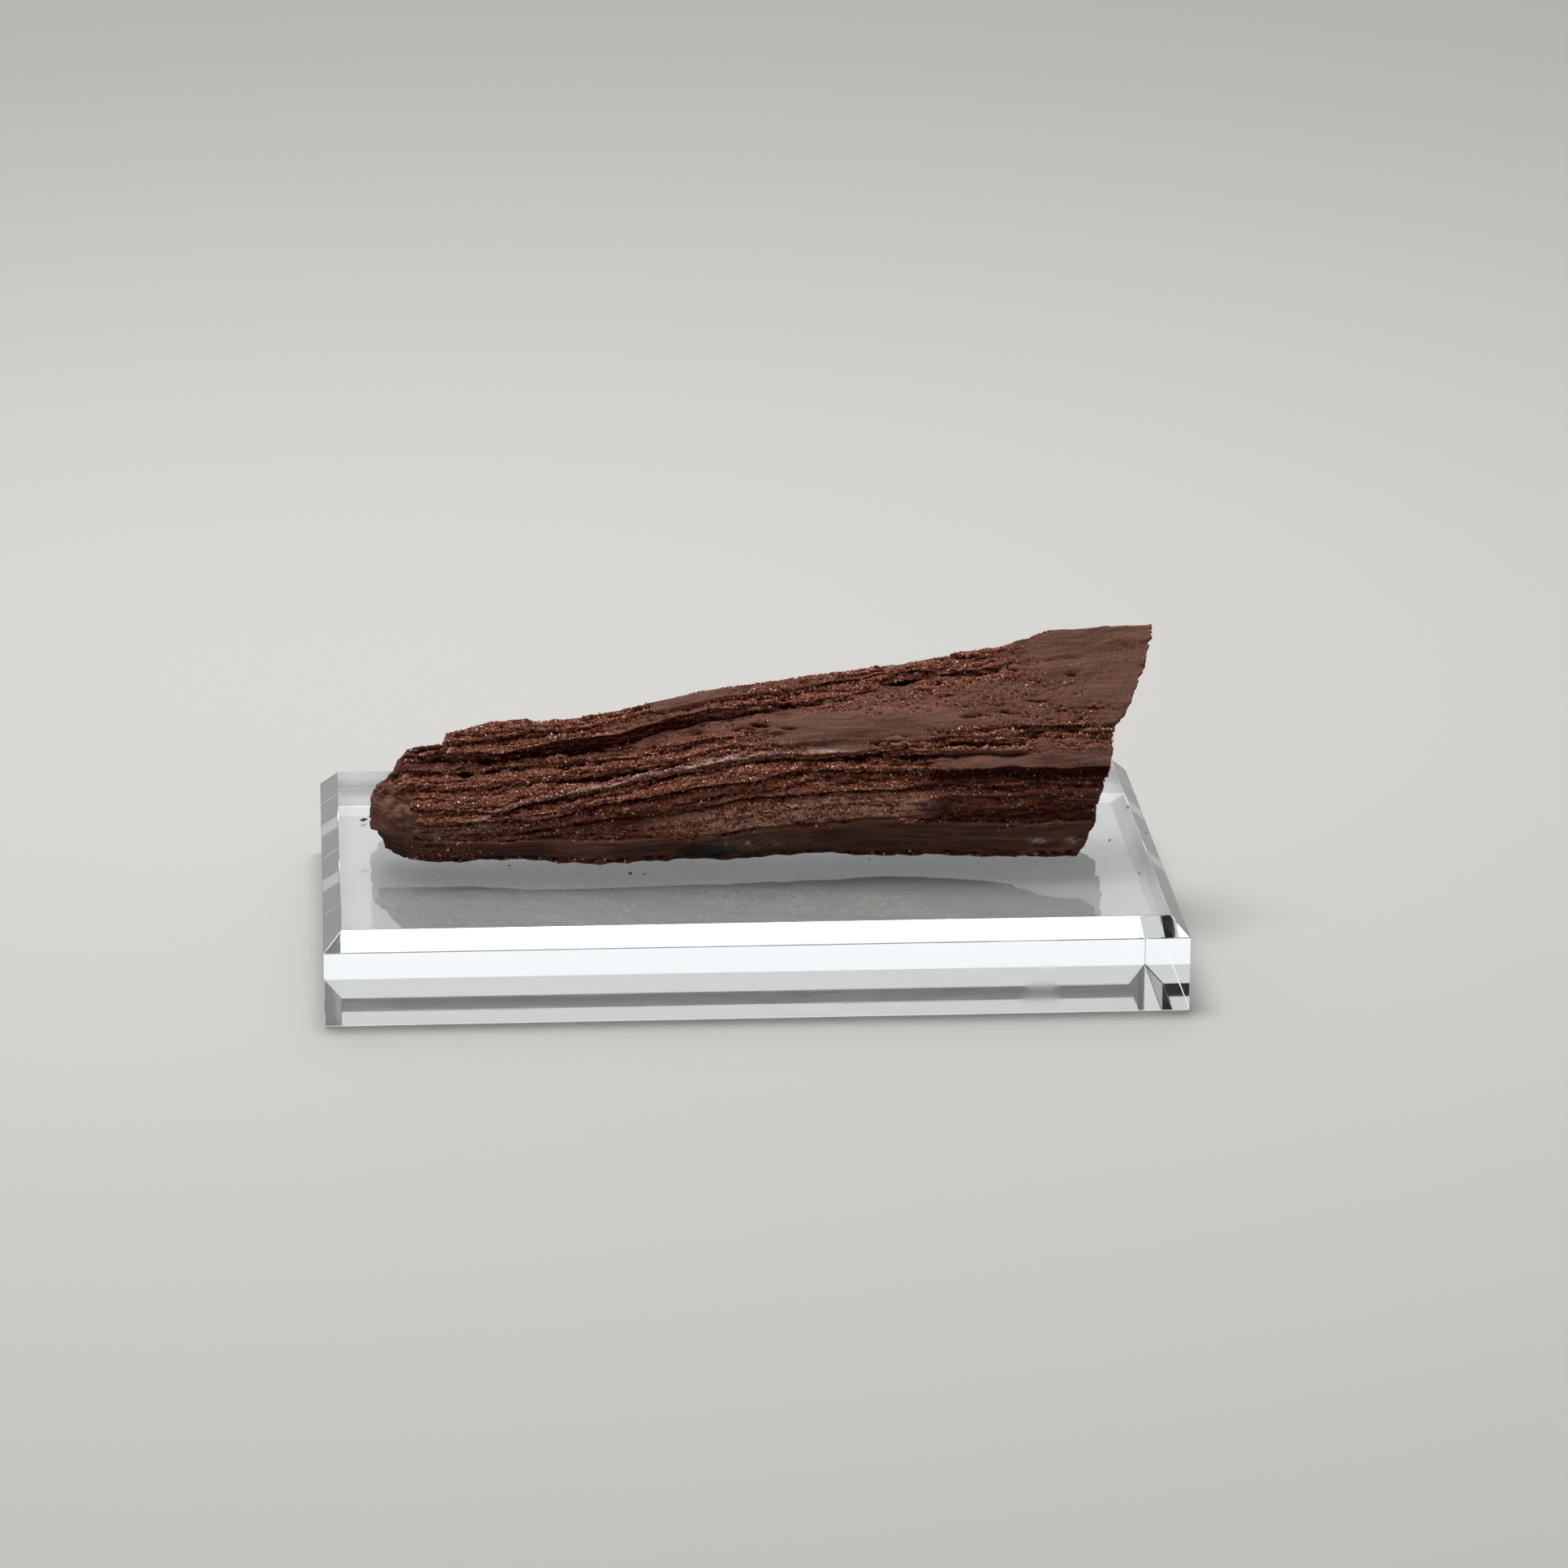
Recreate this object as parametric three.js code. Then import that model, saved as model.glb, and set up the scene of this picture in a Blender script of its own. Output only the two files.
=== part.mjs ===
import * as THREE from 'three';
import { ImprovedNoise } from 'three/addons/math/ImprovedNoise.js';

// ---------------------------------------------------------------------------
// A fragment of petrified wood lying on a clear acrylic display block.
// Millimetres, +Z up, +X along the grain of the wood. The origin is the centre
// of the block's underside; the viewer's side of the wood faces -Y.
// ---------------------------------------------------------------------------

// Display block: 9 x 6 in, nominal 1 in sheet, with a 45 degree top bevel.
const BLOCK_LENGTH = 228.6;
const BLOCK_DEPTH = 152.4;
const BLOCK_HEIGHT = 25;
const BLOCK_BEVEL = 4.8;

// Mesh density of the wood: stations along the grain, then steps down the back and
// along the base of each one. The steps up the face are given layer by layer.
const STATION_STEPS = 72;
const BACK_STEPS = 18;
const BASE_STEPS = 4;

// Cross-sections of the wood from its broken left end to its raised right tip.
// Each point is [y, height above the block]: foot is the front edge of the base,
// toe the top of the steep band over it, brow the edge between the steep lower face
// and the leaning upper one, crest the top edge, shoulder, spine and rump the corners
// of the split back, and heel the rear edge of the base.
const SECTIONS = [
  { x: -101, foot: [-1, 0], toe: [-3.5, 5], brow: [-3.5, 12], crest: [2, 27],
    shoulder: [7.5, 22], spine: [12, 15], rump: [12, 6], heel: [7, 0] },
  { x: -95, foot: [-9, 0], toe: [-10, 5], brow: [-9, 12], crest: [2, 28],
    shoulder: [8, 24], spine: [13, 16], rump: [13, 6], heel: [6.5, 0] },
  { x: -75, foot: [-14.8, 0], toe: [-15.5, 5], brow: [-13.5, 13], crest: [3, 30.9],
    shoulder: [9.5, 28], spine: [14, 18], rump: [15, 6], heel: [6, 0] },
  { x: -50, foot: [-16, 0], toe: [-16.5, 5.5], brow: [-13.5, 17], crest: [5, 34.2],
    shoulder: [12.5, 29], spine: [16.5, 19], rump: [14, 6], heel: [2, 0] },
  { x: -15, foot: [-16, 0], toe: [-16.5, 5.5], brow: [-13.5, 24], crest: [8, 39.6],
    shoulder: [15.5, 35], spine: [17, 21], rump: [15, 7], heel: [4, 0] },
  { x: 20, foot: [-13.5, 0], toe: [-15.5, 5.5], brow: [-13, 25.5], crest: [12, 43],
    shoulder: [19, 38], spine: [22, 26], rump: [15, 8], heel: [6, 0] },
  { x: 45, foot: [-15.5, 0], toe: [-16.5, 5.5], brow: [-13.5, 24.5], crest: [15, 45.4],
    shoulder: [22, 41], spine: [23, 27], rump: [17, 9], heel: [8, 0] },
  { x: 75, foot: [-18, 0], toe: [-18, 5], brow: [-14, 23.5], crest: [18, 49.6],
    shoulder: [25, 43], spine: [26, 31], rump: [14, 11], heel: [0, 0] },
  { x: 100, foot: [-18.5, 0], toe: [-17.5, 5], brow: [-13.5, 23], crest: [20.5, 52.7],
    shoulder: [27, 47], spine: [25, 32], rump: [8, 12], heel: [-11, 0] },
  { x: 114.2, foot: [-18.5, 0], toe: [-16.5, 5], brow: [-13, 23], crest: [22, 53.4],
    shoulder: [27, 46], spine: [22, 30], rump: [6, 13], heel: [-14, 0] },
];

// The front edge of the base as [x, y], chipped and wavy where it meets the block.
const FOOT_EDGE = [[-101, -0.8], [-96, -9], [-90, -13], [-78, -15], [-70, -12.6], [-59, -12.8],
  [-50, -17], [-39, -18.6], [-28, -17], [-15, -14.5], [-3, -16.8], [5, -13.4], [14, -12.4],
  [23, -11], [30, -14], [45, -15.6], [52, -14.6], [64, -17.6], [90, -18.6], [114.2, -18.6]];

// Height of the top edge along the grain; the jumps are where a layer has split off.
const CREST_EDGE = [[-101, 27], [-91.7, 27.5], [-82, 28.4], [-79.8, 31.5], [-69, 33.8], [-58.2, 34.7],
  [-57, 33.2], [-46.8, 34.1], [-33.5, 36.3], [-19.5, 38.8], [-13.5, 40], [8.9, 42.4],
  [20, 43.5], [39.6, 45.4], [44, 45], [50, 45.7], [60.5, 48.2], [76, 50], [79.5, 50.6],
  [85, 53], [94, 53.5], [108, 53.8], [114.2, 53.8]];

// The two broken ends, as [height above the block, x] down the front edge of each break,
// and how far in from the end its slant is felt. The left break also leans back, and the
// lower half of the right one flares out towards the back.
const LEFT_BREAK = [[0, -97], [3, -97.6], [6, -101], [14.5, -100.6], [18, -98.4], [22, -94],
  [27, -91.7]];
const RIGHT_BREAK = [[0, 90], [3, 92.5], [10, 94.7], [20, 97.6], [26, 99.9], [33, 102.2],
  [36, 105.4], [42, 109.4], [47, 111.9], [50, 113.6], [53, 114.2]];
const LEFT_REACH = 22;
const RIGHT_REACH = 50;
const LEFT_LEAN = 0.3;
const LEFT_DOME = 1.6;
const RIGHT_HOLLOW = 2.5;
const RIGHT_FLARE = { slope: 0.25, front: -17, depth: 12, fadeFrom: 21, fadeTo: 28 };

// Flat facets of the left break: planes that end the stone, each given by its outward
// direction and its distance from the middle of the block's top.
const FACETS = [
  { outward: [-0.75, -0.66, 0], distance: 77.5 },
  { outward: [-0.33, -0.94, 0], distance: 41.2 },
  { outward: [-0.62, -0.45, 0.64], distance: 72.3 },
];

// Layers of the split face, from the base up. Each edge runs the whole length as
// [x, height]; cut is how deep the stone lies back under it, as [x, depth], and fall is
// the height over which it comes out again. A negative fall turns the step over, so
// that the stone above the edge is the one that lies back. Steps are the mesh steps
// from the edge below.
const LAYERS = [
  { edge: [[-101, 4.5], [-92, 5.6], [-39, 6.1], [-10, 6.4], [9, 8.3], [26, 9.6], [45, 10.7],
    [64, 9.2], [114, 9]],
  cut: [[-101, 0.6], [-60, 1.4], [95, 1.4], [105, 0.8]], fall: -5, steps: 4 },
  { edge: [[-101, 7.4], [-76, 8], [-58, 8.4], [-44, 10.4], [-25, 12.4], [-10, 15], [4, 17],
    [27, 18.3], [46, 19.2], [70, 19.5], [114, 18.9]],
  cut: [[-68, 0], [-58, 1.6], [40, 1.8], [50, 0.8], [114, 0.8]], fall: 2.6, steps: 5 },
  { edge: [[-101, 9.8], [-80, 10.6], [-65, 11.5], [-54, 11.9], [-47, 13.2], [-39, 15.4],
    [-28, 17.6], [-12, 20], [4, 22], [15, 24], [33, 24], [46, 23.5], [72, 23.7], [98, 23.2],
    [114, 23]],
  cut: [[-80, 0], [-66, 1.8], [10, 2], [42, 1.8], [46, 3.8], [114, 3.8]], fall: 3.4, steps: 3 },
  { edge: [[-101, 12.4], [-76, 13], [-65, 14], [-60, 15.8], [-49, 17.6], [-35, 20.6], [-25, 23],
    [-12, 25.4], [-4, 26.8], [12, 27.8], [45, 28.2], [76, 28], [114, 27]],
  cut: [[-72, 0], [-62, 1.6], [-30, 2.2], [0, 2.8], [50, 2.8], [74, 2], [80, 0]],
  fall: 2.8, steps: 4 },
  { edge: [[-101, 16.4], [-90, 18], [-73, 19.8], [-59, 21.2], [-46, 23], [-32, 24.6], [-17, 27.4],
    [-4, 29.4], [10, 30.3], [58, 30.5], [77, 30.6], [114, 31]],
  cut: [[-99, 1.6], [-40, 2.2], [-20, 1.6], [-8, 0.6], [20, 0.6], [52, 0], [56, 2.6], [76, 2.6],
    [80, 0], [92, 0], [95, 1.6], [114, 1.2]],
  fall: 2.2, steps: 3 },
  { edge: [[-101, 20.2], [-92, 21.5], [-79, 23.2], [-67, 24.2], [-44, 26.2], [-34, 27.3],
    [-21, 29.4], [-7, 31.6], [5, 32.7], [50, 32.6], [92, 33], [114, 32.8]],
  cut: [[-98, 1.2], [-60, 2.4], [-10, 2.2], [6, 1.4], [15, 0], [73, 0], [78, 2.2], [92, 2.2],
    [96, 0]],
  fall: 1.9, steps: 2 },
  { edge: [[-101, 23.8], [-92, 24.8], [-82, 26.2], [-66, 27.2], [-53, 28.6], [-42, 30.2],
    [-31, 31.9], [-19, 34.6], [-9, 36.8], [6, 37.8], [20, 38.8], [60, 41.4], [90, 44], [114, 46]],
  cut: [[-92, 0], [-84, 3], [-66, 4.4], [-10, 4.4], [6, 3], [16, 1], [36, 0.5], [50, 0]],
  fall: 2.5, steps: 6 },
  { edge: [[-101, 25.6], [-92, 26.4], [-82, 27.6], [-79, 29.4], [-63, 30.6], [-53, 31.4],
    [-40, 32.8], [-24, 35.8], [-9, 38.4], [6, 39.8], [21, 41.3], [32, 42.4], [42, 43.5],
    [48, 43.7], [63, 44.8], [73, 46], [90, 47.5], [114, 50]],
  cut: [[-84, 0.4], [-79, 1.3], [-24, 1.2], [5, 0.8], [20, 1.4], [36, 1.2], [41, 3.6], [70, 3.2],
    [76, 0.3], [110, 0.5]],
  fall: 1.5, steps: 3 },
];
const CREST_STEPS = 3;
const EDGE_LIP = 0.3;
const EDGE_WAVE = { length: 4.5, height: 0.25, shift: 2.1, shorter: 2.7 };
const EDGE_CHIPS = { length: 9, depth: 0.35 };

// Low rounded swellings and rot pits: centre as [x, height], reach along and across
// the grain, and how far each stands out.
const SWELLINGS = [
  { centre: [36, 35], reach: [30, 2.6], out: 1.2 },
  { centre: [72, 17.2], reach: [26, 1.3], out: 0.9 },
  { centre: [70, 13.6], reach: [26, 1.5], out: 0.8 },
  { centre: [20, 13.5], reach: [30, 2.5], out: 0.9 },
  { centre: [91, 43.4], reach: [1.8, 0.8], out: -1 },
  { centre: [12, 36.8], reach: [4.5, 1.3], out: -1.8 },
  { centre: [4.5, 33.8], reach: [3.4, 1.1], out: -1.5 },
  { centre: [-75, 21.6], reach: [3, 1.3], out: -1.8 },
  { centre: [66, 36], reach: [8, 1.2], out: -0.9 },
];

// Uneven splitting along the fibres: [length, spacing, depth] of each size of unevenness,
// the share of it that the face has, and the height over which it grows from the base.
const FIBRE_SIZES = [[34, 7, 1.1], [15, 3.2, 0.7], [6, 2, 0.45]];
const FACE_FIBRE_SHARE = 0.6;
const BASE_FADE = 2.5;

// The back is split into long splinters, with fainter waves between them.
const SPLINTER = { length: 110, spacing: 9, height: 2.4 };
const BACK_WAVE = { length: 40, spacing: 12, height: 0.9 };

// Rings of the two breaks, and the grit on them.
const BREAK_RINGS = [{ scale: 0.72, share: 0.7 }, { scale: 0.38, share: 1 }];
const BREAK_GRIT = { size: 5, depth: 1.6 };

// The back keeps its corners; the face is one smooth curve before its layers are cut.
const BACK_CORNERS = ['crest', 'shoulder', 'spine', 'rump', 'heel'];
const CORNER_ROUNDING = 0.15;
const FACE_SAMPLES = 60;

// Cubic interpolation along the grain of one coordinate of one named point.
function rail(name, axis, x) {
  const last = SECTIONS.length - 2;
  let row = 0;
  while (row < last && x > SECTIONS[row + 1].x) row += 1;
  const value = (index) => SECTIONS[THREE.MathUtils.clamp(index, 0, last + 1)][name][axis];
  const place = (index) => SECTIONS[THREE.MathUtils.clamp(index, 0, last + 1)].x;
  const slope = (index) => (value(index + 1) - value(index - 1))
    / (place(index + 1) - place(index - 1));
  const span = place(row + 1) - place(row);
  const t = (x - place(row)) / span;
  const rise = (3 - 2 * t) * t * t;
  const bend = (t - 1) * t * span;
  return value(row) * (1 - rise) + value(row + 1) * rise
    + bend * ((t - 1) * slope(row) + t * slope(row + 1));
}

// Straight-line reading of a list of [place, value] pairs.
function readAt(pairs, place) {
  const next = pairs.findIndex(([mark]) => mark >= place);
  if (next === -1) return pairs[pairs.length - 1][1];
  if (next === 0) return pairs[0][1];
  const [fromPlace, fromValue] = pairs[next - 1];
  const [toPlace, toValue] = pairs[next];
  return THREE.MathUtils.mapLinear(place, fromPlace, toPlace, fromValue, toValue);
}

// Slants the stations near each end until the last one lies on the break itself.
function slant(x, height, y = 0) {
  const start = SECTIONS[0].x;
  const end = SECTIONS[SECTIONS.length - 1].x;
  const left = 1 - THREE.MathUtils.smoothstep(x, start, start + LEFT_REACH);
  const right = THREE.MathUtils.smoothstep(x, end - RIGHT_REACH, end);
  const behind = THREE.MathUtils.clamp(y - RIGHT_FLARE.front, 0, RIGHT_FLARE.depth);
  const low = 1 - THREE.MathUtils.smoothstep(height, RIGHT_FLARE.fadeFrom, RIGHT_FLARE.fadeTo);
  return x + left * (readAt(LEFT_BREAK, height + LEFT_LEAN * y) - start)
    + right * (readAt(RIGHT_BREAK, height) - end + RIGHT_FLARE.slope * low * behind);
}

function sectionPoint(name, x) {
  const y = name === 'foot' ? readAt(FOOT_EDGE, x) : rail(name, 0, x);
  const height = name === 'crest' ? readAt(CREST_EDGE, x) : rail(name, 1, x);
  return new THREE.Vector3(0, y, height);
}

function sectionCurve(names, x, kind) {
  const points = names.map((name) => sectionPoint(name, x));
  return new THREE.CatmullRomCurve3(points, false, kind, CORNER_ROUNDING);
}

const noise = new ImprovedNoise();

// Height of a layer's edge, with the small waves of a split edge added: a long one and
// a shorter one, shifted from layer to layer.
function edgeHeight(layer, x) {
  const index = LAYERS.indexOf(layer);
  const long = Math.sin(x / EDGE_WAVE.length + index * EDGE_WAVE.shift);
  const short = Math.sin(EDGE_WAVE.shorter * x / EDGE_WAVE.length + 2 * index * EDGE_WAVE.shift);
  return readAt(layer.edge, x) + EDGE_WAVE.height * (long + 0.5 * short);
}

// How far the split face lies out from its smooth shape, in mm.
function faceRelief(x, height) {
  let out = 0;
  LAYERS.forEach((layer, index) => {
    const below = (edgeHeight(layer, x) - height) / layer.fall;
    if (below * Math.abs(layer.fall) > EDGE_LIP / 2) {
      const chips = 1 + EDGE_CHIPS.depth * noise.noise(x / EDGE_CHIPS.length, index * 5.1, 9.5);
      out -= readAt(layer.cut, x) * chips * Math.exp(-below);
    }
  });
  for (const { centre, reach, out: rise } of SWELLINGS) {
    const off = ((x - centre[0]) / reach[0]) ** 2 + ((height - centre[1]) / reach[1]) ** 2;
    out += rise * Math.exp(-off);
  }
  return out;
}

function fibreRelief(x, around) {
  return FIBRE_SIZES.reduce((sum, [length, spacing, depth], index) => (
    sum + depth * noise.noise(x / length, around / spacing, index * 7.3)), 0);
}

// Long splinters stand out of the back as sharp ridges between shallow hollows.
function backRelief(x, around) {
  const fold = noise.noise(x / SPLINTER.length, around / SPLINTER.spacing, 4.1);
  const wave = noise.noise(x / BACK_WAVE.length, around / BACK_WAVE.spacing, 8.3);
  return SPLINTER.height * (0.4 - 2 * Math.abs(fold)) + BACK_WAVE.height * wave;
}

// Heights of the mesh rows up the face of one station. Every layer's edge has a row
// of its own on both sides of the step, so the steps stay sharp all along it.
function faceHeights(station, crest) {
  const heights = [0];
  const climb = (top, steps) => {
    const from = heights[heights.length - 1];
    for (let step = 1; step <= steps; step += 1) {
      heights.push(THREE.MathUtils.lerp(from, top, step / steps));
    }
  };
  for (const layer of LAYERS) {
    const edge = edgeHeight(layer, slant(station, readAt(layer.edge, station)));
    climb(edge - EDGE_LIP, layer.steps);
    climb(edge + EDGE_LIP, 1);
  }
  climb(crest, CREST_STEPS);
  return heights;
}

// Moves the points of one side out along the section's own normal. The ends of the
// side stay where they are, so that the base stays flat and the sides stay joined.
function roughen(points, relief) {
  let around = 0;
  return points.map((point, index) => {
    const before = points[Math.max(index - 1, 0)];
    const after = points[Math.min(index + 1, points.length - 1)];
    around += point.distanceTo(before);
    const along = new THREE.Vector3().subVectors(after, before).normalize();
    const fade = THREE.MathUtils.smoothstep(point.z, 0, BASE_FADE)
      * Math.min(1, Math.min(index, points.length - 1 - index) / 2);
    const out = fade * relief(point.z, around);
    return new THREE.Vector3(0, point.y - along.z * out, point.z + along.y * out);
  });
}

// Lays a point that sticks out of a facet back on it.
function cutFacets(point) {
  for (const { outward, distance } of FACETS) {
    const direction = new THREE.Vector3(...outward).normalize();
    point.addScaledVector(direction, -Math.max(0, point.dot(direction) - distance));
  }
  point.z = Math.max(point.z, 0);
  return point;
}

// One closed loop round the wood: up the face, down the back, along the base.
function sectionLoop(station) {
  const smoothFace = sectionCurve(['foot', 'toe', 'brow', 'crest'], station, 'centripetal')
    .getPoints(FACE_SAMPLES);
  const depthAt = smoothFace.map((point) => [point.z, point.y]);
  const crest = sectionPoint('crest', station);
  const face = faceHeights(station, crest.z)
    .map((height) => new THREE.Vector3(0, readAt(depthAt, height), height));
  const back = sectionCurve(BACK_CORNERS, station, 'catmullrom').getSpacedPoints(BACK_STEPS);
  const roughFace = roughen(face, (height, around) => (
    faceRelief(slant(station, height), height)
    + FACE_FIBRE_SHARE * fibreRelief(station, around)));
  const roughBack = roughen(back, (height, around) => backRelief(station, around));
  const loop = [...roughFace, ...roughBack.slice(1)];
  for (let step = 1; step < BASE_STEPS; step += 1) {
    loop.push(back[BACK_STEPS].clone().lerp(face[0], step / BASE_STEPS));
  }
  return loop.map(({ y, z }) => cutFacets(new THREE.Vector3(slant(station, z, y), y, z)))
    .map(({ x, y, z }) => [x, y, z + BLOCK_HEIGHT]);
}

function loopCentre(loop) {
  return [0, 1, 2].map((axis) => loop.reduce((sum, point) => sum + point[axis], 0) / loop.length);
}

// Skins a row of equal closed loops and closes both ends with a fan.
function skinLoops(loops) {
  const count = loops[0].length;
  const positions = loops.flat();
  const indices = [];
  for (let row = 0; row + 1 < loops.length; row += 1) {
    for (let k = 0; k < count; k += 1) {
      const next = (k + 1) % count;
      const a = row * count + k;
      const b = row * count + next;
      const c = a + count;
      const d = b + count;
      indices.push(a, c, b, b, c, d);
    }
  }
  for (const [row, flip] of [[0, false], [loops.length - 1, true]]) {
    const centre = positions.length;
    positions.push(loopCentre(loops[row]));
    for (let k = 0; k < count; k += 1) {
      const a = row * count + k;
      const b = row * count + (k + 1) % count;
      indices.push(centre, ...(flip ? [b, a] : [a, b]));
    }
  }
  const geometry = new THREE.BufferGeometry();
  geometry.setAttribute('position', new THREE.Float32BufferAttribute(positions.flat(), 3));
  geometry.setIndex(indices);
  return geometry;
}

// Two smaller copies of an end loop, pushed in or out towards the middle, so that the
// break is a rough hollow or dome and not a flat cut.
function breakLoops(loop, push) {
  const centre = loopCentre(loop);
  return BREAK_RINGS.map(({ scale, share }) => loop.map((point) => {
    const [x, y, z] = point.map((value, axis) => THREE.MathUtils.lerp(centre[axis], value, scale));
    const grit = BREAK_GRIT.depth * noise.noise(y / BREAK_GRIT.size, z / BREAK_GRIT.size, push);
    return [x + share * push + grit, y, z];
  }));
}

function woodGeometry() {
  const start = SECTIONS[0].x;
  const end = SECTIONS[SECTIONS.length - 1].x;
  const loops = [];
  for (let step = 0; step <= STATION_STEPS; step += 1) {
    loops.push(sectionLoop(THREE.MathUtils.lerp(start, end, step / STATION_STEPS)));
  }
  const leftBreak = breakLoops(loops[0], -LEFT_DOME).reverse();
  const rightBreak = breakLoops(loops[loops.length - 1], -RIGHT_HOLLOW);
  return skinLoops([...leftBreak, ...loops, ...rightBreak]);
}

// The block is sawn from clear sheet, so its loops are rectangles stacked upwards.
function blockGeometry() {
  const levels = [
    { height: 0, inset: 0 },
    { height: BLOCK_HEIGHT - BLOCK_BEVEL, inset: 0 },
    { height: BLOCK_HEIGHT, inset: BLOCK_BEVEL },
  ];
  const loops = levels.map(({ height, inset }) => {
    const halfLength = BLOCK_LENGTH / 2 - inset;
    const halfDepth = BLOCK_DEPTH / 2 - inset;
    return [
      [-halfLength, -halfDepth, height],
      [-halfLength, halfDepth, height],
      [halfLength, halfDepth, height],
      [halfLength, -halfDepth, height],
    ];
  });
  return skinLoops(loops);
}

function part(name, geometry, material) {
  const mesh = new THREE.Mesh(geometry, material);
  mesh.name = name;
  return mesh;
}

const jasperWood = new THREE.MeshStandardMaterial({ color: 0x54332b, roughness: 0.75, metalness: 0 });
const clearAcrylic = new THREE.MeshStandardMaterial({ color: 0xe9eeee, roughness: 0.05, metalness: 0 });

const display = new THREE.Group();
display.add(part('acrylic_block', blockGeometry(), clearAcrylic));
display.add(part('petrified_wood', woodGeometry(), jasperWood));

export default display;
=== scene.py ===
import itertools
import math

import bpy
import numpy as np
from mathutils import Matrix, Vector


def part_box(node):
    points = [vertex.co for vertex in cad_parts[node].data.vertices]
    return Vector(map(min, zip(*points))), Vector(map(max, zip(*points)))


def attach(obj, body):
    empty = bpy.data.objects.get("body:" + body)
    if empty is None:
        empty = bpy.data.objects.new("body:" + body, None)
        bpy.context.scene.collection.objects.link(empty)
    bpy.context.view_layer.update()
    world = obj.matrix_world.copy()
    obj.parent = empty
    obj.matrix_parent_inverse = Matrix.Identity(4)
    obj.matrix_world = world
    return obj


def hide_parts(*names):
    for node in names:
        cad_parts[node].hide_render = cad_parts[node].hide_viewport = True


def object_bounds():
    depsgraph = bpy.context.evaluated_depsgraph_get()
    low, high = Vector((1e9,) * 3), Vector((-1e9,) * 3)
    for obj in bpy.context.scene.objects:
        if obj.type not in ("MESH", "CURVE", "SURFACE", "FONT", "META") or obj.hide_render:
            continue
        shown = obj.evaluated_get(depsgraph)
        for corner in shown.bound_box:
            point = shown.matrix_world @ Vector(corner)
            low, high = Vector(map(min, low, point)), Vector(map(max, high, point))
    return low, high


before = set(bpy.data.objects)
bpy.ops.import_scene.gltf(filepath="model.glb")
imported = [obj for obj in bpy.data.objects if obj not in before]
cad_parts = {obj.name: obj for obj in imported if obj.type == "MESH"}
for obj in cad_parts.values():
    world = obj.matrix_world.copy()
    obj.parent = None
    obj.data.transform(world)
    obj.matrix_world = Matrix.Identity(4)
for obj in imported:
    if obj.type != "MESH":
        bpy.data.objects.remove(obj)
cad_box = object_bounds()


# ---------------------------------------------------------------------------
# Display block. Cast acrylic sheet, sawn to 9 x 6 in, milled with a 45 degree bevel round
# its top and polished on every face. The stone only lies on it. Handling has left hairline
# scratches and a little haze.
# ---------------------------------------------------------------------------
# The frame is in metres. Real sizes are written in millimetres and turned with MM. +X runs
# along the grain of the wood, and the viewer's side faces -Y.
MM = 0.001
block_low, block_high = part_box("acrylic_block")
TOP_BEVEL = 4.8 * MM
EDGE_BREAK = 0.2 * MM  # the polisher takes the sharpness off every edge

bpy.ops.object.select_all(action="DESELECT")
bpy.ops.mesh.primitive_cube_add(size=1, location=(block_low + block_high) / 2)
polished_block = bpy.context.active_object
polished_block.name = "polished_block"
polished_block.scale = block_high - block_low
bpy.ops.object.transform_apply(location=True, rotation=True, scale=True)

for vertex in polished_block.data.vertices:
    vertex.select = vertex.co.z > block_high.z - EDGE_BREAK
for edge in polished_block.data.edges:
    edge.select = all(polished_block.data.vertices[i].select for i in edge.vertices)
for face in polished_block.data.polygons:
    face.select = face.center.z > block_high.z - EDGE_BREAK
bpy.ops.object.mode_set(mode="EDIT")
bpy.ops.mesh.bevel(offset=TOP_BEVEL, offset_type="OFFSET", segments=1, affect="EDGES")
bpy.ops.object.mode_set(mode="OBJECT")

edge_break = polished_block.modifiers.new("edge_break", "BEVEL")
edge_break.width = EDGE_BREAK
edge_break.segments = 2
edge_break.limit_method = "ANGLE"
edge_break.angle_limit = math.radians(30)
bpy.ops.object.modifier_apply(modifier=edge_break.name)


def linear(colour):
    """An sRGB hex colour as linear values."""
    channels = [int(colour[i:i + 2], 16) / 255 for i in (1, 3, 5)]
    return [c / 12.92 if c < 0.04045 else ((c + 0.055) / 1.055) ** 2.4 for c in channels] + [1.0]


def new_material(name, **shader_values):
    """A material with its plain shader values set; returns it, its node tree and shader."""
    material = bpy.data.materials.new(name)
    material.use_nodes = True
    shader = material.node_tree.nodes["Principled BSDF"]
    for socket, value in shader_values.items():
        shader.inputs[socket.replace("_", " ")].default_value = value
    return material, material.node_tree, shader


def add(tree, kind, settings=None, **inputs):
    """Adds a node: its settings, then its inputs, each a value or a socket. An input is
    named, with _ for a space, or numbered as i0, i1 and so on."""
    node = tree.nodes.new(kind)
    for name, value in (settings or {}).items():
        setattr(node, name, value)
    for name, value in inputs.items():
        key = int(name[1:]) if name[0] == "i" and name[1:].isdigit() else name.replace("_", " ")
        if isinstance(value, bpy.types.NodeSocket):
            tree.links.new(value, node.inputs[key])
        else:
            node.inputs[key].default_value = value
    return node


# Cast acrylic (PMMA), polished: water clear and as smooth as glass, with a trace of blue
# where the light's path through it is long.
acrylic, tree, shader = new_material(
    "cast_acrylic_polished", Base_Color=linear("#fbfdfe"), Roughness=0.01, IOR=1.49,
    Transmission_Weight=1.0)
place = add(tree, "ShaderNodeTexCoord").outputs["Object"]
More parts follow.
